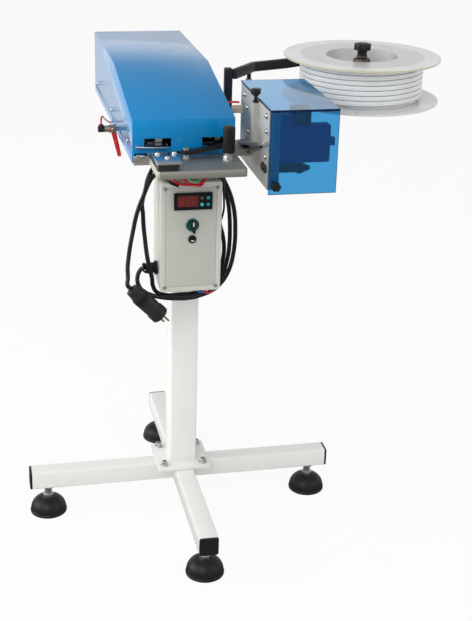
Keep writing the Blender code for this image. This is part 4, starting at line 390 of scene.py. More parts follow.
def ring_slab(outer, inner, bottom, top, edge):
    """A flat ring between two outlines of as many points, raised between two heights."""
    bm = bmesh.new()
    rings = [[bm.verts.new((x, y, bottom)) for x, y in outline] for outline in (outer, inner)]
    count = len(outer)
    faces = [bm.faces.new((rings[0][index], rings[0][(index + 1) % count],
                           rings[1][(index + 1) % count], rings[1][index])) for index in range(count)]
    raised = bmesh.ops.extrude_face_region(bm, geom=faces)
    top_points = [item for item in raised["geom"] if isinstance(item, bmesh.types.BMVert)]
    bmesh.ops.translate(bm, verts=top_points, vec=(0, 0, top - bottom))
    bmesh.ops.recalc_face_normals(bm, faces=bm.faces)
    return bevelled(bm, edge, 3, math.radians(50.0))


def rounded_outline(width, height, corner, steps=6):
    """Points round a centred rectangle with round corners."""
    points = []
    for quarter, (side_x, side_y) in enumerate(((1, 1), (-1, 1), (-1, -1), (1, -1))):
        for step in range(steps + 1):
            angle = (quarter + step / steps) * math.pi / 2
            points.append((side_x * (width / 2 - corner) + corner * math.cos(angle),
                           side_y * (height / 2 - corner) + corner * math.sin(angle)))
    return points


def arc_turns(start, sweep_degrees, steps):
    """Evenly spaced angles along an arc."""
    return [start + math.radians(sweep_degrees) * step / steps for step in range(steps + 1)]


def lobed_outline(radius, lobes, depth, steps=12):
    """Points round a knob with finger lobes."""
    count = lobes * steps
    points = []
    for step in range(count):
        turn = math.tau * step / count
        reach = radius - depth * (1 - math.cos(lobes * turn)) / 2
        points.append((reach * math.cos(turn), reach * math.sin(turn)))
    return points


def piece(name, bm, body, finish, replaces=(), sharp=32.0):
    """Make a bmesh a finished piece that rides on a body."""
    bmesh.ops.remove_doubles(bm, verts=bm.verts, dist=1e-6)
    bmesh.ops.recalc_face_normals(bm, faces=bm.faces)
    mesh = bpy.data.meshes.new(name)
    bm.to_mesh(mesh)
    bm.free()
    mesh.shade_smooth()
    mesh.set_sharp_from_angle(angle=math.radians(sharp))
    made = bpy.data.objects.new(name, mesh)
    bpy.context.scene.collection.objects.link(made)
    for each in finish if isinstance(finish, (list, tuple)) else [finish]:
        mesh.materials.append(each)
    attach(made, body)
    if replaces:
        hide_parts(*replaces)
    return made


def dressed(node, finish, body, edge=0.0005, segments=2, name=None):
    """A copy of a CAD node with its edges softened, which stands for the node."""
    bm = bmesh.new()
    bm.from_mesh(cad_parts[node].data)
    bmesh.ops.remove_doubles(bm, verts=bm.verts, dist=1e-5)
    bmesh.ops.dissolve_limit(bm, angle_limit=math.radians(1.0), verts=bm.verts, edges=bm.edges)
    if edge > 0:
        bevelled(bm, edge, segments)
    return piece(name or node + "_finished", bm, body, finish, (node,))


def paint(node, finish):
    """Give a CAD node that stays its finish."""
    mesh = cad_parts[node].data
    mesh.materials.clear()
    mesh.materials.append(finish)


def tube(name, points, radius, body, finish, smooth=True, replaces=(), rounds=5):
    """A flexible tube along a smooth line through its points."""
    data = bpy.data.curves.new(name, "CURVE")
    data.dimensions = "3D"
    data.bevel_depth = radius
    data.bevel_resolution = rounds
    data.use_fill_caps = True
    data.resolution_u = 10
    if smooth:
        spline = data.splines.new("BEZIER")
        spline.bezier_points.add(len(points) - 1)
        for target, point in zip(spline.bezier_points, points):
            target.co = point
            target.handle_left_type = "AUTO"
            target.handle_right_type = "AUTO"
    else:
        spline = data.splines.new("POLY")
        spline.points.add(len(points) - 1)
        for target, point in zip(spline.points, points):
            target.co = (*point, 1.0)
    made = bpy.data.objects.new(name, data)
    bpy.context.scene.collection.objects.link(made)
    data.materials.append(finish)
    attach(made, body)
    if replaces:
        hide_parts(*replaces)
    return made


def socket_screw(radius, height):
    """A cap screw's head with its hexagon socket, standing on Z = 0."""
    socket = radius * 0.56
    edge = radius * 0.12
    bm = turned([(0, height * 0.45), (socket, height * 0.45), (socket, height), (radius - edge, height),
                 (radius, height - edge), (radius, 0), (0, 0)], SMALL_STEPS)
    return hexed(bm, socket)


def dome_screw(radius, height):
    """A button-headed screw with its hexagon socket."""
    socket = radius * 0.5
    rings = [(0, height * 0.5), (socket, height * 0.5), (socket, height)]
    for step in range(1, 6):
        angle = step / 5 * math.pi / 2
        rings.append((socket + (radius - socket) * math.sin(angle), height * math.cos(angle) * 0.85 + height * 0.15))
    return hexed(turned(rings + [(radius, 0), (0, 0)], SMALL_STEPS), socket)


def hexagon_head(radius, height):
    """A hexagon head or nut with chamfered corners."""
    bm = turned([(0, height), (radius * 0.8, height), (radius, height * 0.86), (radius, 0), (0, 0)], SMALL_STEPS)
    return hexed(bm, radius)


def threaded(radius, bottom, top, pitch):
    """A screw's thread as close rings."""
    depth = pitch * 0.5
    count = int((top - bottom) / pitch)
    profile = [(0, bottom), (radius - depth, bottom)]
    for ring in range(count):
        start = bottom + ring * pitch
        profile += [(radius - depth, start + pitch * 0.12), (radius, start + pitch * 0.45),
                    (radius, start + pitch * 0.6), (radius - depth, start + pitch * 0.9)]
    return turned(profile + [(radius - depth, top), (0, top)], 32)


def washer(radius, hole, thickness):
    """A flat ring standing on Z = 0."""
    return turned([(hole, 0), (radius, 0), (radius, thickness * 0.8), (radius - thickness * 0.2, thickness),
                   (hole, thickness)], SMALL_STEPS, closed=True)


def make_base():
    """The welded cross, its caps and the levelling feet."""
    for node in ("cross_beam", "front_leg", "rear_leg"):
        dressed(node, WHITE, "stand", 0.0004, 1)
    dressed("column", WHITE, "stand", 0.0006)
    for side in ("left", "right", "front", "rear"):
        dressed(side + "_end_cap", BLACK, "stand", 0.0008)
        make_foot(side)
    beads = []
    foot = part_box("front_leg")[1].z
    half = (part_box("front_leg")[1].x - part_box("front_leg")[0].x) / 2
    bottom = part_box("front_leg")[0].z
    for side in (-1, 1):
        corner = [at(-half, side * half, bottom + 0.004), at(-half, side * half, foot - 0.004)]
        other = [at(half, side * half, bottom + 0.004), at(half, side * half, foot - 0.004)]
        across = [at(-half + 0.003, side * (half + 0.0005), foot), at(half - 0.003, side * (half + 0.0005), foot)]
        beads += [corner, other, across]
    tube_half = 0.030
    for height, lean in ((COLUMN_LOW.z + 0.008, 1), (COLUMN_HIGH.z - 0.008, -1)):
        ring = [at(x * tube_half, y * tube_half, height + lean * 0.0008)
                for x, y in ((-1, -1), (1, -1), (1, 1), (-1, 1), (-1, -1))]
        beads += [[first, second] for first, second in zip(ring, ring[1:])]
    piece("weld_beads", joined([weld_bead(*bead) for bead in beads]), "stand", WHITE, sharp=70)
    screws = []
    for x in (-1, 1):
        for y in (-1, 1):
            spot = at(x * 0.043, y * 0.043, COLUMN_LOW.z + 0.008 + SEAT)
            screws.append(aimed(washer(0.0085, 0.0042, 0.0016), spot))
            screws.append(aimed(socket_screw(0.0065, 0.008), spot + Vector((0, 0, 0.0016)), turn=x * 0.4))
            under = at(x * 0.043, y * 0.043, COLUMN_HIGH.z - 0.008 - SEAT)
            screws.append(aimed(hexagon_head(0.0075, 0.0055), under, "-Z", x * 0.3))
    piece("flange_screws", joined(screws), "stand", ZINC)


def weld_bead(start, end):
    """A rippled weld along a joint."""
    length = (end - start).length
    ripples = max(6, int(length / 0.0022))
    profile = [(0, 0)]
    for ring in range(ripples * 2 + 1):
        swell = 0.0021 if ring % 2 else 0.0017
        profile.append((swell, length * ring / (ripples * 2)))
    profile.append((0, length))
    return aimed(turned(profile, 10), start, end - start)


def make_foot(side):
    """One domed pad with its moulded rim, and the threaded stud."""
    low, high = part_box(side + "_foot_pad")
    centre = (low + high) / 2
    radius = (high.x - low.x) / 2
    height = high.z - low.z
    profile = [(0, 0), (radius - 0.002, 0), (radius - 0.0004, 0.0012), (radius, 0.003), (radius, 0.0055),
               (radius - 0.0012, 0.0072)]
    steps = 14
    crown = 0.0115
    for step in range(1, steps + 1):
        angle = step / steps * math.pi / 2
        profile.append((crown + (radius - 0.0012 - crown) * math.cos(angle), 0.0072 + (height - 0.0072) * math.sin(angle)))
    profile += [(crown - 0.0015, height - 0.0006), (0, height - 0.0006)]
    body = side + "_foot"
    piece(side + "_pad_moulding", aimed(turned(profile), (centre.x, centre.y, 0)), body, BLACK,
          (side + "_foot_pad",))
    stud_low, stud_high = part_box(side + "_foot_stud")
    base = Vector((centre.x, centre.y, 0))
    nut = aimed(hexagon_head(0.0124, 0.0085), base + Vector((0, 0, stud_low.z)))
    ball = aimed(turned([(0, 0), (0.0095, 0), (0.0095, 0.0015), (0.0105, 0.002), (0, 0.002)], 32),
                 base + Vector((0, 0, stud_low.z - 0.0005)))
    rod = aimed(threaded(0.0079, stud_low.z + 0.0085, stud_high.z, 0.002), base)
    lock_nut = aimed(hexagon_head(0.0124, 0.0065), base + Vector((0, 0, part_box("cross_beam")[0].z - 0.0069)), turn=0.35)
    piece(side + "_stud_thread", joined([nut, ball, rod, lock_nut]), body, ZINC, (side + "_foot_stud",))


def facing(bm, back, centre):
    """Turn a shape made along +Z towards the operator, with its foot at a depth."""
    bmesh.ops.rotate(bm, verts=bm.verts, cent=(0, 0, 0), matrix=Matrix.Rotation(math.pi / 2, 3, "X"))
    bmesh.ops.translate(bm, verts=bm.verts, vec=(centre.x, back, centre.z))
    return bm


def make_control_box():
    """The moulded box, its lid with a raised rim round a field, and the corner screws."""
    low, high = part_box("control_box")
    lid_low, lid_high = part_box("box_lid")
    centre = (low + high) / 2
    width = high.x - low.x
    height = high.z - low.z
    corner = 0.006
    depth = high.y - low.y
    body = slab(rounded_outline(width - 0.0016, height - 0.0016, corner), 0.0, depth - 0.004, 0.0006)
    lip = slab(rounded_outline(width, height, corner), depth - 0.0041, depth, 0.0006)
    piece("box_moulding", facing(joined([body, lip]), high.y, centre), "stand", BOX_RIM,
          ("control_box",))
    thick = lid_high.y - lid_low.y
    rim = 0.0105
    inner = rounded_outline(width - 2 * rim, height - 2 * rim, corner * 0.7)
    plate = slab(rounded_outline(width, height, corner), 0.0, thick - 0.0015, 0.0008)
    border = ring_slab(rounded_outline(width, height, corner), inner, thick - 0.0032, thick, 0.0013)
    piece("lid_moulding", facing(joined([plate, border]), lid_high.y, centre), "stand", BOX_RIM,
          ("box_lid",))
    field = slab(rounded_outline(width - 2 * rim - 0.0022, height - 2 * rim - 0.0022, corner * 0.6),
                 thick - 0.0016, thick - 0.0001, 0.0004)
    piece("lid_field", facing(field, lid_high.y, centre), "stand", BOX_GREY)
    screws = []
    for x in (-1, 1):
        for z in (-1, 1):
            inset = 0.0092 if z < 0 else 0.0125
            spot = Vector((centre.x + x * (width / 2 - 0.0095), lid_low.y, centre.z + z * (height / 2 - inset)))
            screws.append(aimed(turned([(0, 0), (0.0040, 0), (0.0040, 0.0003), (0.0026, 0.0003), (0.0024, 0.0001),
                                        (0, 0.0001)], SMALL_STEPS), spot, "-Y"))
            slot_low = spot + Vector((-0.0022, -0.0006, -0.0005))
            slot_high = spot + Vector((0.0022, -0.0001, 0.0005))
            screws.append(block(slot_low, slot_high, 0.0001))
    piece("lid_screws", joined(screws), "stand", SCREW_GREY)


SEGMENTS = {"a": (0, 2, 0), "b": (1, 1.5, 1), "c": (1, 0.5, 1), "d": (0, 0, 0), "e": (-1, 0.5, 1), "f": (-1, 1.5, 1),
            "g": (0, 1, 0)}


def make_controller():
    """The panel controller's frame, filter, lit digits and keys."""
    low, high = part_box("temperature_controller")
    face = low.y
    dressed("temperature_controller", BEZEL, "stand", 0.0003)
    frame_bars = []
    edge = 0.0022
    for a, b in (((low.x, low.z), (high.x, low.z + edge)), ((low.x, high.z - edge), (high.x, high.z)),
                 ((low.x, low.z), (low.x + edge, high.z)), ((high.x - edge, low.z), (high.x, high.z))):
        frame_bars.append(block((a[0], face - 0.0008, a[1]), (b[0], face + 0.0004, b[1]), 0.0003))
    piece("controller_frame", joined(frame_bars), "stand", BEZEL)
    window_low = Vector((low.x + 0.0065, face + 0.0002, low.z + 0.0062))
    window_high = Vector((window_low.x + 0.043, face + 0.0007, window_low.z + 0.023))
    piece("display_filter", block(window_low, window_high, 0.0002), "stand", DISPLAY_RED)
    bars = []
    half = 0.0032
    for digit in range(3):
        centre_x = window_low.x + 0.0090 + digit * 0.0118
        base = window_low.z + 0.0052
        for across, up, standing in SEGMENTS.values():
            x = centre_x + across * half
            z = base + up * 2 * half
            reach_x, reach_z = (0.0005, half - 0.0007) if standing else (half - 0.0007, 0.0005)
            bars.append(block((x - reach_x, face - 0.0001, z - reach_z), (x + reach_x, face + 0.0003, z + reach_z), 0.0001))
    piece("display_segments", joined(bars), "stand", SEGMENT_RED)
    for node, finish in (("set_key", DARK_KEY), ("up_key", TEAL_KEY), ("shift_key", CYAN_KEY), ("down_key", TEAL_KEY)):
        dressed(node, finish, node, 0.0003)


def make_switches():
    """The selector with its pointer, and the push button."""
    ring_low, ring_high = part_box("selector_ring")
    centre = (ring_low + ring_high) / 2
    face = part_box("box_lid")[0].y
    place = Vector((centre.x, face - SEAT, centre.z))
    radius = (ring_high.x - ring_low.x) / 2
    ring = turned([(0.0102, 0), (radius, 0), (radius, 0.0012), (radius - 0.0016, 0.0034), (0.0112, 0.0036),
                   (0.0102, 0.003)], closed=True)
    piece("selector_bezel", aimed(ring, place, "-Y"), "stand", TEAL, ("selector_ring",))
    cap = turned([(0, 0.0015), (0.0099, 0.0015), (0.0099, 0.0065), (0.0088, 0.0076), (0, 0.0076)])
    handle = block((-0.0026, -0.0100, 0.0070), (0.0026, 0.0100, 0.0145), 0.0012, 3)
    for point in handle.verts:
        if point.co.z > 0.012:
            point.co.x *= 0.78
    piece("selector_handle", aimed(joined([cap, handle]), place, "-Y"), "selector", BLACK,
          ("selector_knob",))
    pointer = slab([(-0.0014, 0.0012), (0.0014, 0.0012), (0.0009, 0.0104), (-0.0009, 0.0104)], 0.0143, 0.0149,
                   0.0002)
    piece("selector_pointer", aimed(pointer, place, (0, -1, 0)), "selector", IVORY)
    patches = []
    for start in (205.0, 25.0):
        outer = [(0.0084 * math.cos(turn), 0.0084 * math.sin(turn)) for turn in
                 arc_turns(math.radians(start - 90.0), 130.0, 16)]
        inner = [(0.0056 * math.cos(turn), 0.0056 * math.sin(turn)) for turn in
                 reversed(arc_turns(math.radians(start - 90.0), 130.0, 16))]
        patches.append(slab(outer + inner, 0.0074, 0.0080, 0.0001))
    piece("selector_patches", aimed(joined(patches), place, (0, -1, 0)), "selector", TEAL)
    tab = block((0.0005, -0.0180, 0.0), (0.0065, -0.0125, 0.002), 0.0006)
    piece("selector_lug", aimed(tab, place, "-Y"), "stand", BLACK)
    low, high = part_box("button_ring")
    centre = (low + high) / 2
    radius = (high.x - low.x) / 2
    place = Vector((centre.x, face - SEAT, centre.z))
    collar = turned([(0.0052, 0), (radius, 0), (radius, 0.0014), (radius - 0.0014, 0.0034), (0.0062, 0.0037),
                     (0.0052, 0.003)], closed=True)
    piece("button_collar", aimed(collar, place, "-Y"), "stand", BLACK, ("button_ring",))
    cap = turned([(0, 0.0046), (0.0030, 0.0046), (0.0044, 0.0052), (0.0048, 0.0048), (0.0048, 0.0), (0, 0)])
    piece("button_cap", aimed(cap, place, "-Y"), "button", BLACK, ("push_button",))
    reach = 0.0036
    outer = [(reach * math.cos(turn), reach * math.sin(turn)) for turn in arc_turns(math.radians(185.0), 170.0, 16)]
    inner = [(reach * 0.95 * math.cos(turn), reach * 0.30 * math.sin(turn))
             for turn in reversed(arc_turns(math.radians(190.0), 160.0, 12))]
    piece("button_crescent", aimed(slab(outer + inner, 0.0044, 0.0051, 0.0001), place, (0, -1, 0)), "button", IVORY)


def make_gland():
    """The cable gland: a flange on the wall, a narrower body and a ribbed cone that eases the lead's bend."""
    low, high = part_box("cable_gland")
    centre = (low + high) / 2
    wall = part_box("control_box")[0].x
    length = wall - low.x
    flange = turned([(0, 0), (0.0145, 0), (0.0145, 0.0042), (0.0139, 0.005), (0, 0.005)], 48)
    body = hexed(turned([(0, 0.005), (0.0118, 0.005), (0.0118, 0.0125), (0, 0.0125)], SMALL_STEPS), 0.0118)
    cone = turned([(0, 0.0127), (0.0126, 0.0127), (0.0132, 0.0135), (0.0126, 0.0165), (0.0104, length - 0.001),
                   (0.0092, length), (0, length)], 48)
    ribs = []
    for step in range(12):
        rib = block((0.0110, -0.0010, 0.0135), (0.0134, 0.0010, 0.0175), 0.0004)
        bmesh.ops.rotate(rib, verts=rib.verts, cent=(0, 0, 0), matrix=Matrix.Rotation(math.tau * step / 12, 3, "Z"))
        ribs.append(rib)
    shape = aimed(joined([flange, body, cone] + ribs), (wall - SEAT, centre.y, centre.z), "-X")
    piece("gland_moulding", shape, "stand", BLACK, ("cable_gland",))
    tie = turned([(0.0076, -0.0055), (0.0092, -0.0055), (0.0096, -0.0045), (0.0096, 0.0045), (0.0092, 0.0055),
                  (0.0076, 0.0055)], 48, closed=True)
    buckle = block((0.0060, -0.0034, -0.0046), (0.0128, 0.0034, 0.0046), 0.0008)
    bmesh.ops.rotate(buckle, verts=buckle.verts, cent=(0, 0, 0), matrix=Matrix.Rotation(2.2, 3, "Z"))
    piece("cable_tie", aimed(joined([tie, buckle]), at(-0.0905, -0.0860, 0.5965), "-Y"), "stand", BLACK)


# Route of the mains lead, as the frame has it, measured from the foot of the column's axis
LEAD_RADIUS = 0.0045
LEAD_STRAIGHT = 0.006
LEAD_ROUTE = (
    (-0.1035, -0.0760, 0.5875), (-0.1085, -0.0790, 0.5750), (-0.1075, -0.0840, 0.5615),
    (-0.0990, -0.0900, 0.5495), (-0.0825, -0.0970, 0.5420), (-0.0605, -0.1030, 0.5375),
    (-0.0350, -0.1040, 0.5345), (-0.0060, -0.1010, 0.5325), (0.0210, -0.0940, 0.5345),
    (0.0480, -0.0860, 0.5415), (0.0675, -0.0810, 0.5565), (0.0780, -0.0790, 0.5720),
    (0.0860, -0.0790, 0.5935), (0.0905, -0.0790, 0.6175), (0.0930, -0.0790, 0.6435),
    (0.0930, -0.0790, 0.6695), (0.0915, -0.0790, 0.6965), (0.0865, -0.0790, 0.7245),
    (0.0780, -0.0790, 0.7515), (0.0665, -0.0790, 0.7760), (0.0520, -0.0790, 0.8030),
    (0.0250, -0.0790, 0.8110), (-0.0120, -0.0790, 0.8110), (-0.0480, -0.0770, 0.8050),
    (-0.0740, -0.0760, 0.7900), (-0.0900, -0.0770, 0.7630), (-0.0990, -0.0790, 0.7335),
    (-0.0975, -0.0800, 0.7110), (-0.0965, -0.0820, 0.6860), (-0.0945, -0.0860, 0.6620),
    (-0.0925, -0.0920, 0.6380), (-0.0895, -0.0970, 0.6160), (-0.0850, -0.0980, 0.5960),
    (-0.0810, -0.0970, 0.5765), (-0.0790, -0.0950, 0.5610), (-0.0700, -0.0930, 0.5455),
    (-0.0490, -0.0900, 0.5370), (-0.0170, -0.0840, 0.5345), (0.0095, -0.0770, 0.5330),
    (0.0340, -0.0700, 0.5395), (0.0595, -0.0650, 0.5475), (0.0730, -0.0620, 0.5645),
    (0.0790, -0.0600, 0.5835), (0.0840, -0.0600, 0.6090), (0.0860, -0.0600, 0.6350),
    (0.0860, -0.0600, 0.6635), (0.0845, -0.0600, 0.6920), (0.0810, -0.0600, 0.7200),
    (0.0750, -0.0600, 0.7445), (0.0690, -0.0600, 0.7700), (0.0560, -0.0590, 0.7960),
    (0.0300, -0.0560, 0.8060), (0.0020, -0.0510, 0.8060), (-0.0220, -0.0420, 0.8050),
    (-0.0410, -0.0290, 0.7960), (-0.0500, -0.0190, 0.7710), (-0.0510, -0.0150, 0.7360),
    (-0.0510, -0.0140, 0.6900), (-0.0510, -0.0140, 0.6420), (-0.0510, -0.0150, 0.5970),
    (-0.0500, -0.0180, 0.5660), (-0.0430, -0.0270, 0.5460), (-0.0270, -0.0420, 0.5355),
    (0.0040, -0.0480, 0.5335), (0.0340, -0.0500, 0.5380), (0.0570, -0.0500, 0.5460),
    (0.0705, -0.0490, 0.5640), (0.0750, -0.0480, 0.5905), (0.0775, -0.0470, 0.6155),
    (0.0755, -0.0440, 0.6410), (0.0680, -0.0410, 0.6720), (0.0635, -0.0400, 0.7060),
    (0.0625, -0.0400, 0.7420), (0.0635, -0.0410, 0.7780), (0.0510, -0.0440, 0.8060),
    (0.0200, -0.0460, 0.8150), (-0.0140, -0.0490, 0.8170), (-0.0460, -0.0600, 0.8170),
    (-0.0710, -0.0750, 0.8100), (-0.0870, -0.0870, 0.7910), (-0.0965, -0.0920, 0.7575),
    (-0.1055, -0.0900, 0.7330), (-0.1130, -0.0900, 0.7085), (-0.1185, -0.0910, 0.6825),
    (-0.1240, -0.0950, 0.6580), (-0.1285, -0.0990, 0.6330), (-0.1320, -0.1050, 0.6085),
    (-0.1325, -0.1120, 0.5875), (-0.1275, -0.1190, 0.5675),
)
PLUG_DIP = math.radians(46.1)
PLUG_DIRECTION = Vector((math.cos(PLUG_DIP), 0.0, -math.sin(PLUG_DIP)))


def make_lead():
    """The mains lead in its long loops round the box, and its plug with grip ribs and pins."""
    gland_low, gland_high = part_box("cable_gland")
    gland = (gland_low + gland_high) / 2
    start = Vector((gland_low.x - SEAT, gland.y, gland.z))
    end = at(*LEAD_ROUTE[-1])
    route = [start, start - Vector((LEAD_STRAIGHT, 0, 0))] + [at(*point) for point in LEAD_ROUTE[:-1]]
    route += [end - PLUG_DIRECTION * 2 * LEAD_RADIUS, end]
    lead = tube("mains_lead_flex", route, LEAD_RADIUS, "stand", RUBBER, replaces=("mains_lead",))
    shell = [(0, 0.0004), (0.0062, 0.0004), (0.0066, 0.0022), (0.0128, 0.0024), (0.0140, 0.0036), (0.0142, 0.0090),
             (0.0156, 0.0180), (0.0176, 0.0290), (0.0180, 0.0420), (0.0177, 0.0560), (0.0172, 0.0660), (0.0172, 0.0685),
             (0.0188, 0.0690), (0.0188, 0.0862), (0.0172, 0.0880), (0, 0.0880)]
    body = turned(shell, FINE_STEPS)
    for point in body.verts:
        if point.co.z < 0.068:
            point.co.y *= 1 - 0.12 * min(1.0, (0.068 - point.co.z) / 0.02)
    marks = []
    for height in (0.0245, 0.0275, 0.0305, 0.0335, 0.0365):
        marks.append(ring_slab_round(0.0168 + (height - 0.0245) * 0.09, 0.0183, height, 0.0013))
    for height in (0.0725, 0.0765, 0.0805):
        marks.append(ring_slab_round(0.0182, 0.0192, height, 0.0018))
    for turn in (math.radians(200.0), math.radians(250.0)):
        stud = turned([(0, 0), (0.0022, 0), (0.0020, 0.0006), (0.0012, 0.0006), (0.0010, 0.0002), (0, 0.0002)], SMALL_STEPS)
        outward = Vector((math.cos(turn), math.sin(turn), 0))
        marks.append(aimed(stud, outward * 0.0178 + Vector((0, 0, 0.050)), outward))
    plug = piece("plug_moulding", aimed(joined([body] + marks), end, PLUG_DIRECTION), "stand", PLUG_BLACK,
                 ("mains_plug",))
    pins = []
    for side in (-1, 1):
        pin = turned([(0, 0.087), (0.0024, 0.087), (0.0024, 0.104), (0.0016, 0.1058), (0, 0.1058)], SMALL_STEPS)
        offset = Vector((-PLUG_DIRECTION.z * 0.57, -0.82, PLUG_DIRECTION.x * 0.57)).normalized() * side * 0.0095
        pins.append(aimed(pin, end + offset, PLUG_DIRECTION))
    pin_piece = piece("plug_pins", joined(pins), "stand", NICKEL)


def ring_slab_round(inner, outer, height, thickness):
    """A thin round rib at a height."""
    return turned([(inner - 0.0005, height), (outer, height + thickness * 0.2), (outer, height + thickness * 0.8),
                   (inner - 0.0005, height + thickness)], FINE_STEPS, closed=True)


def make_table():
    """The bed, the block with its clamp plate and screws, and the fingers."""
    dressed("bed_plate", TABLE_STEEL, "stand", 0.0007)
    dressed("guide_block", BLOCK_STEEL, "stand", 0.0004)
    dressed("clamp_plate", BRIGHT, "stand", 0.0005)
    dressed("upper_finger", BRIGHT, "stand", 0.0009)
    dressed("lower_finger", BRIGHT, "stand", 0.0009)
    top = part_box("clamp_plate")[1].z
    screws = []
    for x, y in ((-0.0867, -0.1917), (-0.0723, -0.2194), (-0.0542, -0.1900)):
        spot = at(x, y, top)
        screws.append(aimed(washer(0.0055, 0.003, 0.0008), spot))
        screws.append(aimed(dome_screw(0.0048, 0.0032), spot + Vector((0, 0, 0.0008))))
    piece("clamp_screws", joined(screws), "stand", BRIGHT)
    bed_low, bed_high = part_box("bed_plate")
    step = block((at(-0.1235, 0, 0).x, at(0, -0.1365, 0).y, bed_low.z - 0.0045),
                 (at(-0.0865, 0, 0).x, at(0, -0.1270, 0).y, bed_low.z), 0.0006)
    piece("bed_step", step, "stand", TABLE_STEEL)
    bed_top = bed_high.z
    small = []
    for x, y in ((0.045, -0.225), (0.015, -0.150), (-0.040, -0.228)):
        small.append(aimed(turned([(0, 0.0004), (0.0028, 0.0004), (0.0032, 0.0001), (0.0032, 0), (0, 0)], SMALL_STEPS),
                           at(x, y, bed_top)))
    piece("table_plugs", joined(small), "stand", ZINC)


def make_trigger():
    """The trigger lever on its bolt, and the revolving grip."""
    dressed("trigger_lever", BLACK_PAINT, "trigger", 0.0012, 3)
    low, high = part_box("pivot_bolt")
    place = Vector(((low.x + high.x) / 2, (low.y + high.y) / 2, 0))
    lever_low, lever_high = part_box("trigger_lever")
    hub_top = lever_low.z + 0.008
    shank = turned([(0, low.z), (0.0065, low.z), (0.0065, lever_low.z - SEAT), (0.0039, lever_low.z - SEAT),
                    (0.0039, hub_top + SEAT), (0, hub_top + SEAT)], 32)
    flange = turned([(0, low.z), (0.0088, low.z), (0.0088, low.z + 0.0016), (0, low.z + 0.0016)], 32)
    head = hexagon_head(0.0066, high.z - hub_top - SEAT)
    bmesh.ops.translate(head, verts=head.verts, vec=(0, 0, hub_top + SEAT))
    piece("pivot_bolt_finished", aimed(joined([shank, flange, head]), place), "stand", ZINC, ("pivot_bolt",))
    low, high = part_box("grip_stud")
    sleeve_low, sleeve_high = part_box("grip_sleeve")
    place = Vector(((low.x + high.x) / 2, (low.y + high.y) / 2, 0))
    nut = hexagon_head(0.0107, sleeve_low.z - low.z - SEAT - 0.004)
    bmesh.ops.translate(nut, verts=nut.verts, vec=(0, 0, low.z))
    collar = turned([(0, sleeve_low.z - 0.005), (0.0092, sleeve_low.z - 0.005), (0.0092, sleeve_low.z - SEAT),
                     (0, sleeve_low.z - SEAT)], 32)
    flange = turned([(0, low.z), (0.0126, low.z), (0.0126, low.z + 0.0022), (0, low.z + 0.0022)], 32)
    piece("grip_stud_finished", aimed(joined([nut, collar, flange]), place), "stand", ZINC, ("grip_stud",))
    radius = (sleeve_high.x - sleeve_low.x) / 2
    count = 20
    flutes = turned([(0, sleeve_low.z), (radius - 0.001, sleeve_low.z), (radius, sleeve_low.z + 0.001),
                     (radius, sleeve_high.z - 0.003), (radius - 0.0010, sleeve_high.z - 0.0010),
                     (radius - 0.0030, sleeve_high.z), (0, sleeve_high.z)], count * 4)
    for point in flutes.verts:
        reach = math.hypot(point.co.x, point.co.y)
        if reach > radius - 0.0005:
            turn = math.atan2(point.co.y, point.co.x) * count
            share = (reach - 0.00035 * (1 - math.cos(turn))) / reach
            point.co.x *= share
            point.co.y *= share
    piece("grip_rubber", aimed(flutes, place), "grip", BLACK, ("grip_sleeve",))


def make_head():
    """The folded cover with its windows, the tray and what the windows show."""
    dressed("base_tray", BLUE, "stand", 0.0003)
    dressed("head_cover", BLUE, "stand", 0.0006)
    dressed("closing_cylinder", BAR_ALUMINIUM, "stand", 0.0008)
    dressed("closing_ram", BRIGHT, "ram", 0.0006)
    low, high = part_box("head_cover")
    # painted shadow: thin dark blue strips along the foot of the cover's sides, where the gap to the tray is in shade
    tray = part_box("base_tray")
    seam_shadows = []
    for side_x, outward in ((low.x, -1), (high.x, 1)):
        seam_shadows.append(block((min(side_x, side_x + outward * 0.0004), low.y + 0.050, low.z - 0.0014),
                           (max(side_x, side_x + outward * 0.0004), high.y - 0.004, low.z - 0.0002), 0.0001))
    piece("cover_seam_shadows", joined(seam_shadows), "stand", SEAM_SHADOW_BLUE)
    behind = low.y + 0.016
    left_parts = [block(at(-0.0800, 0, 0.8700), at(-0.0665, 0, 0.8765), 0.0008),
                  block(at(-0.0980, 0, 0.8645), at(-0.0600, 0, 0.8668), 0.0006)]
    right_parts = [block(at(0.0100, 0, 0.8640), at(0.0360, 0, 0.8670), 0.0006)]
    for shape in left_parts + right_parts:
        for point in shape.verts:
            point.co.y = behind + (point.co.y - at(0, 0, 0).y) + (0.004 if point.co.y > at(0, 0, 0).y else 0.0)
    bolts = []
    for x, z in ((0.0195, 0.8785), (0.0275, 0.8770)):
        bolts.append(aimed(dome_screw(0.0034, 0.0030), (at(x, 0, 0).x, behind, z), "-Y"))
    bolts.append(block((at(0.0380, 0, 0).x, behind, 0.8690), (at(0.0480, 0, 0).x, behind + 0.004, 0.8790), 0.0008))
    piece("window_bars", joined(left_parts + right_parts + bolts), "stand", ZINC)
    screws = []
    height = tray[1].z + 0.010
    for y in (low.y + 0.060, (low.y + high.y) / 2, high.y - 0.060):
        screws.append(aimed(dome_screw(0.0050, 0.0026), (low.x - SEAT, y, height), "-X"))
        screws.append(aimed(dome_screw(0.0050, 0.0026), (high.x + SEAT, y, height), "X"))
    for x in (low.x + 0.045, high.x - 0.045):
        screws.append(aimed(dome_screw(0.0050, 0.0026), (x, high.y + SEAT, height), "Y"))
    piece("cover_screws", joined(screws), "stand", ZINC)


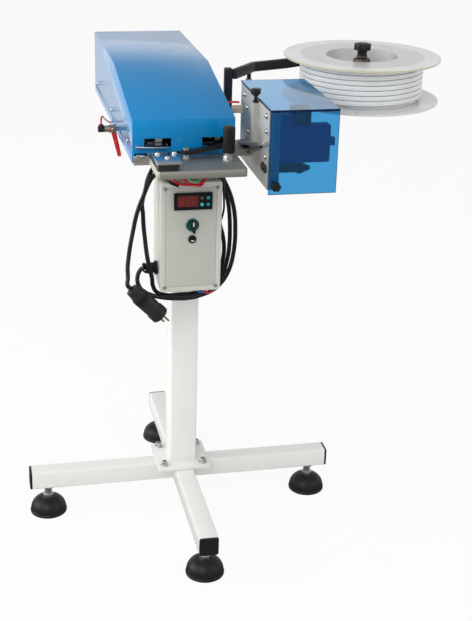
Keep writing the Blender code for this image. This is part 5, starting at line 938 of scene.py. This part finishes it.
def make_valve():
    """The ball valve with its push-in elbow, lever and thin air tube."""
    low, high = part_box("air_valve")
    lever_low, lever_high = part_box("air_valve_lever")
    y = high.y - 0.0095
    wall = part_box("base_tray")[0].x
    place = Vector((wall - SEAT, y, (low.z + high.z) / 2))
    reach = wall - low.x
    out = [(0, 0), (0.0045, 0), (0.0045, 0.0033), (0.0088, 0.0033), (0.0095, 0.0042), (0.0095, 0.0162), (0.0088, 0.0173),
           (0.0072, 0.0176), (0.0072, 0.0270), (0, 0.0270)]
    body = hexed(turned(out, 48), 0.0095)
    stem = aimed(turned([(0, 0), (0.0042, 0), (0.0042, 0.0096), (0.0030, 0.0096), (0.0030, 0.0135), (0, 0.0135)], 24),
                 (0, 0, 0.0103), "-Y")
    nut = aimed(hexagon_head(0.0052, 0.0026), (0, -0.0124, 0.0103), "-Y")
    shape = aimed(joined([body, stem, nut]), (0, 0, 0), "-X")
    bmesh.ops.translate(shape, verts=shape.verts, vec=place)
    piece("valve_body", shape, "stand", NICKEL, ("air_valve",))
    barrel = turned([(0, 0.0272), (0.0066, 0.0272), (0.0066, reach - 0.0007), (0.0060, reach), (0, reach)], 32)
    elbow = aimed(turned([(0, 0), (0.0054, 0), (0.0054, 0.0085), (0.0046, 0.0098), (0, 0.0098)], 32),
                  (0, 0, reach - 0.0066), "X")
    outlet = aimed(joined([barrel, elbow]), (0, 0, 0), "-X")
    bmesh.ops.translate(outlet, verts=outlet.verts, vec=place)
    piece("push_elbow", outlet, "stand", BLACK)
    dressed("air_valve_lever", RED, "valve_lever", 0.0006)
    grip = turned([(0, 0.0215), (0.0030, 0.0215), (0.0042, 0.0230), (0.0040, 0.0500), (0.0026, 0.0545), (0, 0.0550)], 32)
    for point in grip.verts:
        point.co.y *= 0.62
    lean = math.radians(13.0)
    middle_y = (lever_low.y + lever_high.y) / 2
    pivot = Vector((wall - SEAT - 0.0100, middle_y, place.z))
    piece("lever_grip", aimed(grip, pivot, (math.sin(lean), 0, -math.cos(lean))), "valve_lever", RED)
    elbow_top = place + Vector((-(reach - 0.0066), 0, 0.0098))
    route = [elbow_top - Vector((0, 0, 0.003)), elbow_top + Vector((0, 0.001, 0.004)),
             elbow_top + Vector((0.002, 0.012, 0.010)), elbow_top + Vector((0.008, 0.040, 0.006)),
             elbow_top + Vector((0.018, 0.080, -0.010)), elbow_top + Vector((0.034, 0.115, -0.026)),
             elbow_top + Vector((0.056, 0.135, -0.033)), elbow_top + Vector((0.080, 0.140, -0.034))]
    tube("valve_air_tube", route, 0.002, "stand", RED)


def make_feeder():
    """The side plate with its screws, the guide strip, motor, rollers, guard and knobs."""
    dressed("feeder_side_plate", PLATE_STEEL, "stand", 0.0004)
    low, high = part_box("feeder_side_plate")
    guard_low, guard_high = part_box("feeder_guard")
    left = guard_low.x
    screws = []
    for y, z in ((-0.084, 0.924), (-0.245, 0.947), (-0.249, 0.919), (-0.245, 0.869), (-0.060, 0.945), (-0.100, 0.880)):
        spot = at(0, y, z)
        spot.x = left - SEAT
        screws.append(aimed(washer(0.0062, 0.003, 0.0010), spot, "-X"))
        screws.append(aimed(dome_screw(0.0052, 0.0034), spot - Vector((0.0010, 0, 0)), "-X"))
    piece("feeder_screws", joined(screws), "stand", BRIGHT)
    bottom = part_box("bed_plate")[1].z
    strip = strip_between(at(0, -0.024, 0.8365), at(0, -0.262, 0.8985), 0.007, left - 0.0115, left - SEAT)
    piece("guide_strip", strip, "stand", BAR_ALUMINIUM)
    flange_low = Vector((left + 0.0045, guard_low.y + 0.0045, low.z + 0.036))
    flange_high = Vector((left + 0.0200, guard_low.y + 0.0065, high.z))
    piece("plate_flange", block(flange_low, flange_high, 0.0003), "stand", PLATE_STEEL)
    make_motor()
    make_rollers()
    make_guard()
    cable = [at(0.107, -0.050, 0.8180), at(0.107, -0.095, 0.8345), at(0.107, -0.131, 0.8485), at(0.107, -0.175, 0.8655),
             at(0.107, -0.215, 0.8800)]
    tube("sensor_cable", cable, 0.0022, "stand", RUBBER)


def strip_between(start, end, thickness, left, right):
    """A flat bar in the plane of the side plate between two points."""
    along = (end - start).normalized()
    across = Vector((0, -along.z, along.y)) * thickness / 2
    bm = bmesh.new()
    ring = [start - across, end - across, end + across, start + across]
    face = bm.faces.new([bm.verts.new((left, point.y, point.z)) for point in ring])
    pushed = bmesh.ops.extrude_face_region(bm, geom=[face])
    far = [item for item in pushed["geom"] if isinstance(item, bmesh.types.BMVert)]
    bmesh.ops.translate(bm, verts=far, vec=(right - left, 0, 0))
    bmesh.ops.recalc_face_normals(bm, faces=bm.faces)
    return bevelled(bm, 0.0004)


def make_motor():
    """The feed motor: a gear case with a round motor behind it, a terminal head and a plug."""
    low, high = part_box("feed_motor")
    right = high.x - 0.0095
    top = high.z - 0.026
    depth = 0.026
    case = block(low, (right, low.y + depth, top), 0.004, 3)
    can = [(0, 0), (0.0330, 0), (0.0335, 0.0006)]
    for fin in range(7):
        start = 0.004 + fin * 0.0048
        can += [(0.0335, start), (0.0318, start + 0.0004), (0.0318, start + 0.0022), (0.0335, start + 0.0026)]
    can += [(0.0335, 0.0405), (0.0315, 0.0436), (0, 0.0436)]
    middle_x = (low.x + right) / 2
    middle_z = (low.z + top) / 2
    rear = aimed(turned(can, 64), (middle_x, low.y + depth + 0.0001, middle_z), "Y")
    head = block((low.x + 0.005, low.y + 0.004, top - 0.003), (low.x + 0.0430, low.y + 0.034, high.z - 0.008), 0.0015, 3)
    socket_z = top - 0.0335
    socket = block((right - 0.002, low.y + 0.004, socket_z - 0.0075), (high.x, low.y + 0.019, socket_z + 0.0075),
                   0.0010)
    piece("motor_case", joined([case, rear, head, socket]), "stand", MOTOR_GREY, ("feed_motor",))
    plug = block((low.x + 0.0435, low.y + 0.004, top - 0.003), (low.x + 0.0760, low.y + 0.044, high.z), 0.0015, 3)
    piece("motor_plug", plug, "stand", BLACK)


def make_rollers():
    """The feed and pinch rollers with their grooves."""
    for node, body, collar in (("feed_roller", "feed_roller", True), ("pinch_roller", "pinch_roller", False)):
        low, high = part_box(node)
        centre = (low + high) / 2
        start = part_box("feeder_side_plate")[0].x + 0.004 + 0.003
        radius = 0.0085
        profile = [(0, low.x), (0.004, low.x), (0.004, start), (radius - 0.0006, start), (radius, start + 0.0006)]
        grooves = 14
        length = 0.064
        for groove in range(grooves):
            x = start + 0.003 + groove * (length - 0.006) / grooves
            profile += [(radius, x), (radius - 0.0005, x + 0.0006), (radius - 0.0005, x + 0.0016), (radius, x + 0.0022)]
        profile += [(radius, start + length - 0.0006), (radius - 0.0006, start + length)]
        if collar:
            profile += [(0.0106, start + length + 0.0003), (0.0108, start + length + 0.001),
                        (0.0108, start + length + 0.0085), (0.0100, start + length + 0.0093)]
        profile += [(0.004, high.x - 0.0008), (0.0035, high.x), (0, high.x)]
        shape = aimed(turned(profile, 48), (0, 0, 0), "X")
        bmesh.ops.translate(shape, verts=shape.verts, vec=(0, centre.y, centre.z))
        piece(node + "_grooved", shape, body, BLACK, (node,))


def make_guard():
    """A front and a top sheet of blue acrylic with dark cut edges, and the knobs."""
    low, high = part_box("feeder_guard")
    wall = 0.004
    sheets = [("Z", (low.x, low.y, high.z - wall), (high.x, high.y, high.z)),
              ("Y", (low.x, low.y, low.z), (high.x, low.y + wall, high.z - wall - 0.0001))]
    shapes = []
    for axis, corner, far in sheets:
        sheet = block(corner, far, 0.0)
        index = "XYZ".index(axis)
        for face in sheet.faces:
            face.material_index = 0 if abs(face.normal[index]) > 0.5 else 1
        shapes.append(bevelled(sheet, 0.00035, 1))
    piece("guard_sheets", joined(shapes), "guard", [GUARD_BLUE, GUARD_EDGE], ("feeder_guard",))
    knob_low, knob_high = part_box("guard_knob")
    centre = (knob_low + knob_high) / 2
    place = Vector((centre.x, low.y - SEAT, centre.z))
    head = slab(lobed_outline(0.0098, 6, 0.0022), 0.0036, 0.0110, 0.0009)
    stem = turned([(0, 0), (0.0056, 0), (0.0056, 0.0037), (0, 0.0037)], 32)
    stud = turned([(0, -0.0145), (0.0028, -0.0145), (0.0028, 0), (0, 0)], 24)
    piece("guard_star_knob", aimed(joined([head, stem, stud]), place, "-Y"), "guard_knob", BLACK,
          ("guard_knob",))
    knob_low, knob_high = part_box("tension_knob")
    place = Vector(((knob_low.x + knob_high.x) / 2, (knob_low.y + knob_high.y) / 2, knob_low.z))
    stem = turned([(0, 0), (0.0048, 0), (0.0048, 0.004), (0.0030, 0.006), (0.0030, 0.0125), (0.0062, 0.0135),
                   (0.0066, 0.0165), (0, 0.0165)], 32)
    head = slab(lobed_outline(0.0098, 6, 0.0020), 0.0160, 0.0266, 0.0010)
    piece("tension_star_knob", aimed(joined([stem, head]), place), "tension_knob", BLACK,
          ("tension_knob",))


def make_reel():
    """The post and arm, the milky spool with its wound band, the bronze hub and the knob."""
    dressed("reel_post", BLACK_PAINT, "stand", 0.0012, 3)
    dressed("reel_arm", BLACK_PAINT, "stand", 0.0010)
    low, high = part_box("spool_lower_flange")
    top_low, top_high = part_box("spool_upper_flange")
    centre = Vector(((low.x + high.x) / 2, (low.y + high.y) / 2, 0))
    radius = (high.x - low.x) / 2
    flange = high.z - low.z
    # the last number is how much of the band's painted shadow each flange gets
    upper_sheet = spool_sheet("milky_upper_flange", centre, radius, (0.60, 0.57, 0.40), 0.5)
    lower_sheet = spool_sheet("milky_lower_flange", centre, radius, (0.70, 0.69, 0.65), 0.1)
    disc = turned([(0.0086, low.z), (radius - 0.0006, low.z), (radius, low.z + 0.0006), (radius, high.z - 0.0006),
                   (radius - 0.0006, high.z), (0.0086, high.z)], 128, closed=True)
    piece("lower_flange_disc", aimed(disc, centre), "reel", lower_sheet, ("spool_lower_flange",))
    rim_top = low.z + 0.092
    web = rim_top - 0.023
    hub_top = top_high.z
    dish = [(0.0182, web - 0.003), (0.078, web - 0.003), (0.078, rim_top - flange), (radius - 0.0006, rim_top - flange),
            (radius, rim_top - flange + 0.0006), (radius, rim_top - 0.0006), (radius - 0.0006, rim_top),
            (0.0765, rim_top), (0.0752, rim_top - 0.0012), (0.0735, web + 0.0015), (0.0720, web), (0.0182, web)]
    piece("upper_flange_disc", aimed(turned(dish, 128, closed=True), centre), "reel", upper_sheet,
          ("spool_upper_flange",))
    hub = [(0.0086, web - 0.003), (0.0178, web - 0.003), (0.0178, web + 0.0145), (0.0172, web + 0.0155),
           (0.0128, web + 0.0165), (0.0112, web + 0.0175), (0.0112, hub_top - 0.001), (0.0104, hub_top), (0.0086, hub_top)]
    piece("bronze_hub", aimed(turned(hub, 64, closed=True), centre), "reel", HUB_BROWN)
    core_low, core_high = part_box("spool_core")
    core_radius = (core_high.x - core_low.x) / 2
    drum = turned([(0.079, core_low.z), (core_radius, core_low.z), (core_radius, core_high.z), (0.079, core_high.z)], 96,
                  closed=True)
    piece("inner_layers", aimed(drum, centre), "reel", BAND, ("spool_core",))
    make_winding(centre, low.z)
    foot_low, foot_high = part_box("reel_spindle")
    foot = turned([(0, foot_low.z), (0.026, foot_low.z), (0.026, low.z - SEAT - 0.001), (0.025, low.z - SEAT),
                   (0.008, low.z - SEAT), (0.008, foot_high.z), (0, foot_high.z)], 48)
    piece("spindle_turned", aimed(foot, centre), "stand", BRIGHT, ("reel_spindle",))
    knob_low, knob_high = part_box("reel_knob")
    neck = knob_low.z + 0.0135
    head = slab(lobed_outline(0.0185, 8, 0.0026), neck, knob_high.z, 0.0014)
    stem = turned([(0.0086, knob_low.z), (0.0100, knob_low.z), (0.0104, neck - 0.003), (0.0130, neck),
                   (0.0130, neck + 0.0005), (0.0086, neck + 0.0005)], 48, closed=True)
    cap = turned([(0, knob_high.z - 0.0002), (0.0098, knob_high.z - 0.0002), (0.0094, knob_high.z + 0.0010),
                  (0, knob_high.z + 0.0012)], 48)
    piece("reel_star_knob", aimed(joined([head, stem, cap]), centre), "reel_knob", BLACK,
          ("reel_knob",))


def make_winding(centre, flange_bottom):
    """The outer layer of band: flat turns between the flanges."""
    band = 0.0096
    thick = 0.0044
    outer = 0.130
    bottom = flange_bottom + 0.004 + 0.0003 + band / 2
    top = flange_bottom + 0.088 - 0.0003 - band / 2
    turns = 7
    fineness = 72
    points = []
    for step in range(turns * fineness + 1):
        turn = math.tau * step / fineness
        rise = (top - bottom) * step / (turns * fineness)
        points.append(centre + Vector(((outer - thick / 2) * math.cos(turn), (outer - thick / 2) * math.sin(turn),
                                       bottom + rise)))
    made = tube("wound_band", points, thick / 2, "reel", BAND, smooth=False,
                replaces=("band_winding",), rounds=3)
    made.data.twist_mode = "Z_UP"
    made.data.extrude = (band - thick) / 2


def make_small_lines():
    """Loose wires and tubes round the box and beside the head."""
    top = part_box("control_box")[1].z
    laid = (("box_top_red_1", RED, "red_paint", 0.0026,
             ((-0.046, -0.100, 0.0030), (-0.042, -0.116, 0.0030), (-0.034, -0.1204, -0.0010), (-0.019, -0.1206, -0.0038),
              (0.001, -0.1206, -0.0050), (0.012, -0.1204, -0.0060), (0.019, -0.116, 0.0020), (0.024, -0.100, 0.0030))),
            ("box_top_red_2", RED, "red_paint", 0.0026,
             ((-0.030, -0.098, 0.0070), (-0.026, -0.114, 0.0070), (-0.016, -0.1206, 0.0030), (0.002, -0.1212, 0.0010),
              (0.014, -0.1210, 0.0006), (0.023, -0.115, 0.0060), (0.028, -0.100, 0.0075))),
            ("box_top_green", GREEN, "teal_plastic", 0.0022,
             ((-0.017, -0.104, 0.0090), (-0.013, -0.1200, 0.0060), (-0.006, -0.1260, 0.0035), (0.004, -0.1258, 0.0030),
              (0.010, -0.118, 0.0075), (0.012, -0.104, 0.0100))),
            ("box_top_black", RUBBER, "lead_rubber", 0.0026,
             ((-0.060, -0.098, 0.0032), (-0.054, -0.112, 0.0032), (-0.046, -0.1206, -0.0006), (-0.038, -0.1212, -0.0040),
              (-0.033, -0.1230, -0.0060))))
    for name, finish, slot, radius, places in laid:
        tube(name, [at(x, y, top + rise) for x, y, rise in places], radius, "stand", finish)
    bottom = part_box("control_box")[0].z
    for name, finish, slot, start, y in (("box_under_blue", BLUE_TUBE, "blue_paint", 0.010, -0.104),
                                         ("box_under_red", RED, "red_paint", 0.024, -0.109)):
        points = [at(start, y + 0.012, bottom + 0.001), at(start + 0.001, y + 0.004, bottom - 0.006),
                  at(start + 0.009, y, bottom - 0.0095), at(start + 0.017, y + 0.001, bottom - 0.0075),
                  at(start + 0.023, y + 0.006, bottom + 0.001)]
        tube(name, points, 0.0018, "stand", finish)
    arm_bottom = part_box("reel_post")[1].z - 0.022
    stub = [aimed(turned([(0, -0.012), (0.0045, -0.012), (0.0045, 0), (0, 0)], 24), at(0.1660, 0.1520, arm_bottom)),
            aimed(hexagon_head(0.0075, 0.0050), at(0.1660, 0.1520, arm_bottom - 0.0170))]
    piece("arm_bolt", joined(stub[:1]), "stand", BLACK)
    piece("arm_bolt_nut", joined(stub[1:]), "stand", ZINC)
    plate = block(at(0.0770, -0.0915, 0.9150), at(0.0985, -0.0885, 0.9310), 0.0006)
    piece("tan_bracket", plate, "stand", TAN)
    tube("bracket_air_tube", [at(0.0700, -0.050, 0.9240), at(0.0800, -0.056, 0.9288), at(0.0900, -0.059, 0.9296),
                              at(0.0982, -0.060, 0.9292)], 0.0022, "stand", RED)
    thin = [at(0.034, -0.095, 0.787), at(0.050, -0.099, 0.7905), at(0.0595, -0.099, 0.7830), at(0.0620, -0.099, 0.7600),
            at(0.0635, -0.099, 0.7395), at(0.0635, -0.099, 0.7180), at(0.0600, -0.096, 0.6995), at(0.0600, -0.078, 0.6850),
            at(0.0600, -0.062, 0.6820)]
    tube("thin_black_lead", thin, 0.0022, "stand", RUBBER)


def make_stage():
    """A pale floor, soft lamps, a white world and the photograph's camera."""
    scene = bpy.context.scene
    scene.view_settings.view_transform = "Standard"
    floor_bm = bmesh.new()
    bmesh.ops.create_grid(floor_bm, x_segments=1, y_segments=1, size=14.0)
    mesh = bpy.data.meshes.new("floor")
    floor_bm.to_mesh(mesh)
    floor_bm.free()
    floor = bpy.data.objects.new("floor", mesh)
    floor.location = (0, 0, -0.0006)
    scene.collection.objects.link(floor)
    paper = bpy.data.materials.new("floor_paper")
    paper.use_nodes = True
    tree = paper.node_tree
    tree.nodes["Principled BSDF"].inputs["Base Color"].default_value = (0.86, 0.86, 0.86, 1.0)
    tree.nodes["Principled BSDF"].inputs["Roughness"].default_value = 0.9
    shine = tree.nodes.new("ShaderNodeEmission")
    seen = tree.nodes.new("ShaderNodeLightPath")
    place = tree.nodes.new("ShaderNodeTexCoord")
    parts = tree.nodes.new("ShaderNodeSeparateXYZ")
    behind = tree.nodes.new("ShaderNodeMapRange")
    behind.inputs["From Min"].default_value = 0.0
    behind.inputs["From Max"].default_value = 0.5
    behind.inputs["To Min"].default_value = 0.12
    level = tree.nodes.new("ShaderNodeMath")
    level.operation = "MAXIMUM"
    through = tree.nodes.new("ShaderNodeMath")
    through.operation = "MAXIMUM"
    either = tree.nodes.new("ShaderNodeMath")
    either.operation = "MAXIMUM"
    amount = tree.nodes.new("ShaderNodeMath")
    amount.operation = "MULTIPLY"
    amount.inputs[1].default_value = 0.90
    mixed = tree.nodes.new("ShaderNodeMixShader")
    tree.links.new(place.outputs["Object"], parts.inputs[0])
    tree.links.new(parts.outputs["Y"], behind.inputs["Value"])
    tree.links.new(behind.outputs[0], level.inputs[0])
    tree.links.new(through.outputs[0], level.inputs[1])
    tree.links.new(level.outputs[0], shine.inputs["Strength"])
    tree.links.new(seen.outputs["Is Camera Ray"], through.inputs[0])
    tree.links.new(seen.outputs["Is Transmission Ray"], through.inputs[1])
    tree.links.new(through.outputs[0], either.inputs[0])
    tree.links.new(seen.outputs["Is Glossy Ray"], either.inputs[1])
    tree.links.new(either.outputs[0], amount.inputs[0])
    tree.links.new(amount.outputs[0], mixed.inputs[0])
    tree.links.new(tree.nodes["Principled BSDF"].outputs[0], mixed.inputs[1])
    tree.links.new(shine.outputs[0], mixed.inputs[2])
    tree.links.new(mixed.outputs[0], tree.nodes["Material Output"].inputs[0])
    mesh.materials.append(paper)
    world = bpy.data.worlds.new("studio")
    scene.world = world
    world.use_nodes = True
    nodes = world.node_tree.nodes
    links = world.node_tree.links
    path = nodes.new("ShaderNodeLightPath")
    visible = nodes.new("ShaderNodeMath")
    visible.operation = "MAXIMUM"
    links.new(path.outputs["Is Camera Ray"], visible.inputs[0])
    links.new(path.outputs["Is Transmission Ray"], visible.inputs[1])
    way = nodes.new("ShaderNodeTexCoord")
    parts = nodes.new("ShaderNodeSeparateXYZ")
    links.new(way.outputs["Generated"], parts.inputs[0])
    low_part = nodes.new("ShaderNodeMapRange")
    low_part.inputs["From Min"].default_value = 0.58
    low_part.inputs["From Max"].default_value = 0.20
    low_part.inputs["To Min"].default_value = 0.08
    back_part = nodes.new("ShaderNodeMapRange")
    back_part.inputs["From Min"].default_value = -0.5
    back_part.inputs["From Max"].default_value = 0.4
    back_part.inputs["To Min"].default_value = 0.20
    links.new(parts.outputs["Z"], low_part.inputs["Value"])
    links.new(parts.outputs["Y"], back_part.inputs["Value"])
    bright = nodes.new("ShaderNodeMath")
    bright.operation = "MULTIPLY"
    links.new(low_part.outputs[0], bright.inputs[0])
    links.new(back_part.outputs[0], bright.inputs[1])
    mirrored = nodes.new("ShaderNodeMath")
    mirrored.operation = "MULTIPLY"
    links.new(path.outputs["Is Glossy Ray"], mirrored.inputs[0])
    links.new(bright.outputs[0], mirrored.inputs[1])
    plain = nodes.new("ShaderNodeMapRange")
    plain.inputs["To Min"].default_value = 0.55
    plain.inputs["To Max"].default_value = 1.0
    links.new(visible.outputs[0], plain.inputs["Value"])
    other = nodes.new("ShaderNodeMapRange")
    other.inputs["To Min"].default_value = 1.0
    other.inputs["To Max"].default_value = 0.6
    links.new(path.outputs["Is Glossy Ray"], other.inputs["Value"])
    unmirrored = nodes.new("ShaderNodeMath")
    unmirrored.operation = "MULTIPLY"
    links.new(plain.outputs[0], unmirrored.inputs[0])
    links.new(other.outputs[0], unmirrored.inputs[1])
    strength = nodes.new("ShaderNodeMath")
    strength.operation = "MAXIMUM"
    links.new(unmirrored.outputs[0], strength.inputs[0])
    links.new(mirrored.outputs[0], strength.inputs[1])
    links.new(strength.outputs[0], nodes["Background"].inputs["Strength"])
    nodes["Background"].inputs["Color"].default_value = (1, 1, 1, 1)
    lamps = (("key_lamp", (-1.6, -2.4, 2.6), 2.0, 42.0), ("fill_lamp", (2.2, -1.8, 1.9), 2.2, 16.0),
             ("left_lamp", (-2.6, 0.2, 1.4), 1.8, 36.0))
    target = Vector((0, 0, 0.75))
    for name, place, size, power in lamps:
        lamp = bpy.data.lights.new(name, "AREA")
        lamp.size = size
        lamp.energy = power
        holder = bpy.data.objects.new(name, lamp)
        holder.location = place
        holder.rotation_euler = (target - Vector(place)).to_track_quat("-Z", "Y").to_euler()
        scene.collection.objects.link(holder)
    data = bpy.data.cameras.new("photo_camera")
    data.sensor_width = SENSOR
    data.lens = FOCAL_PIXELS / PICTURE_HEIGHT * SENSOR
    data.shift_x = (PICTURE_WIDTH / 2 - AIM_PIXEL[0]) / PICTURE_HEIGHT
    data.shift_y = (AIM_PIXEL[1] - PICTURE_HEIGHT / 2) / PICTURE_HEIGHT
    data.clip_end = 50.0
    camera = bpy.data.objects.new("photo_camera", data)
    level = Euler((math.pi / 2 + CAMERA_PITCH, 0, -CAMERA_YAW), "XYZ").to_matrix().to_4x4()
    place = at(-CAMERA_LEFT, -CAMERA_BACK, CAMERA_HEIGHT)
    camera.matrix_world = Matrix.Translation(place) @ level @ Matrix.Rotation(CAMERA_ROLL, 4, "Z")
    scene.collection.objects.link(camera)
    scene.camera = camera


make_stage()
make_lead()
make_base()
make_control_box()
make_controller()
make_switches()
make_gland()
make_table()
make_trigger()
make_head()
make_valve()
make_feeder()
make_reel()
make_small_lines()
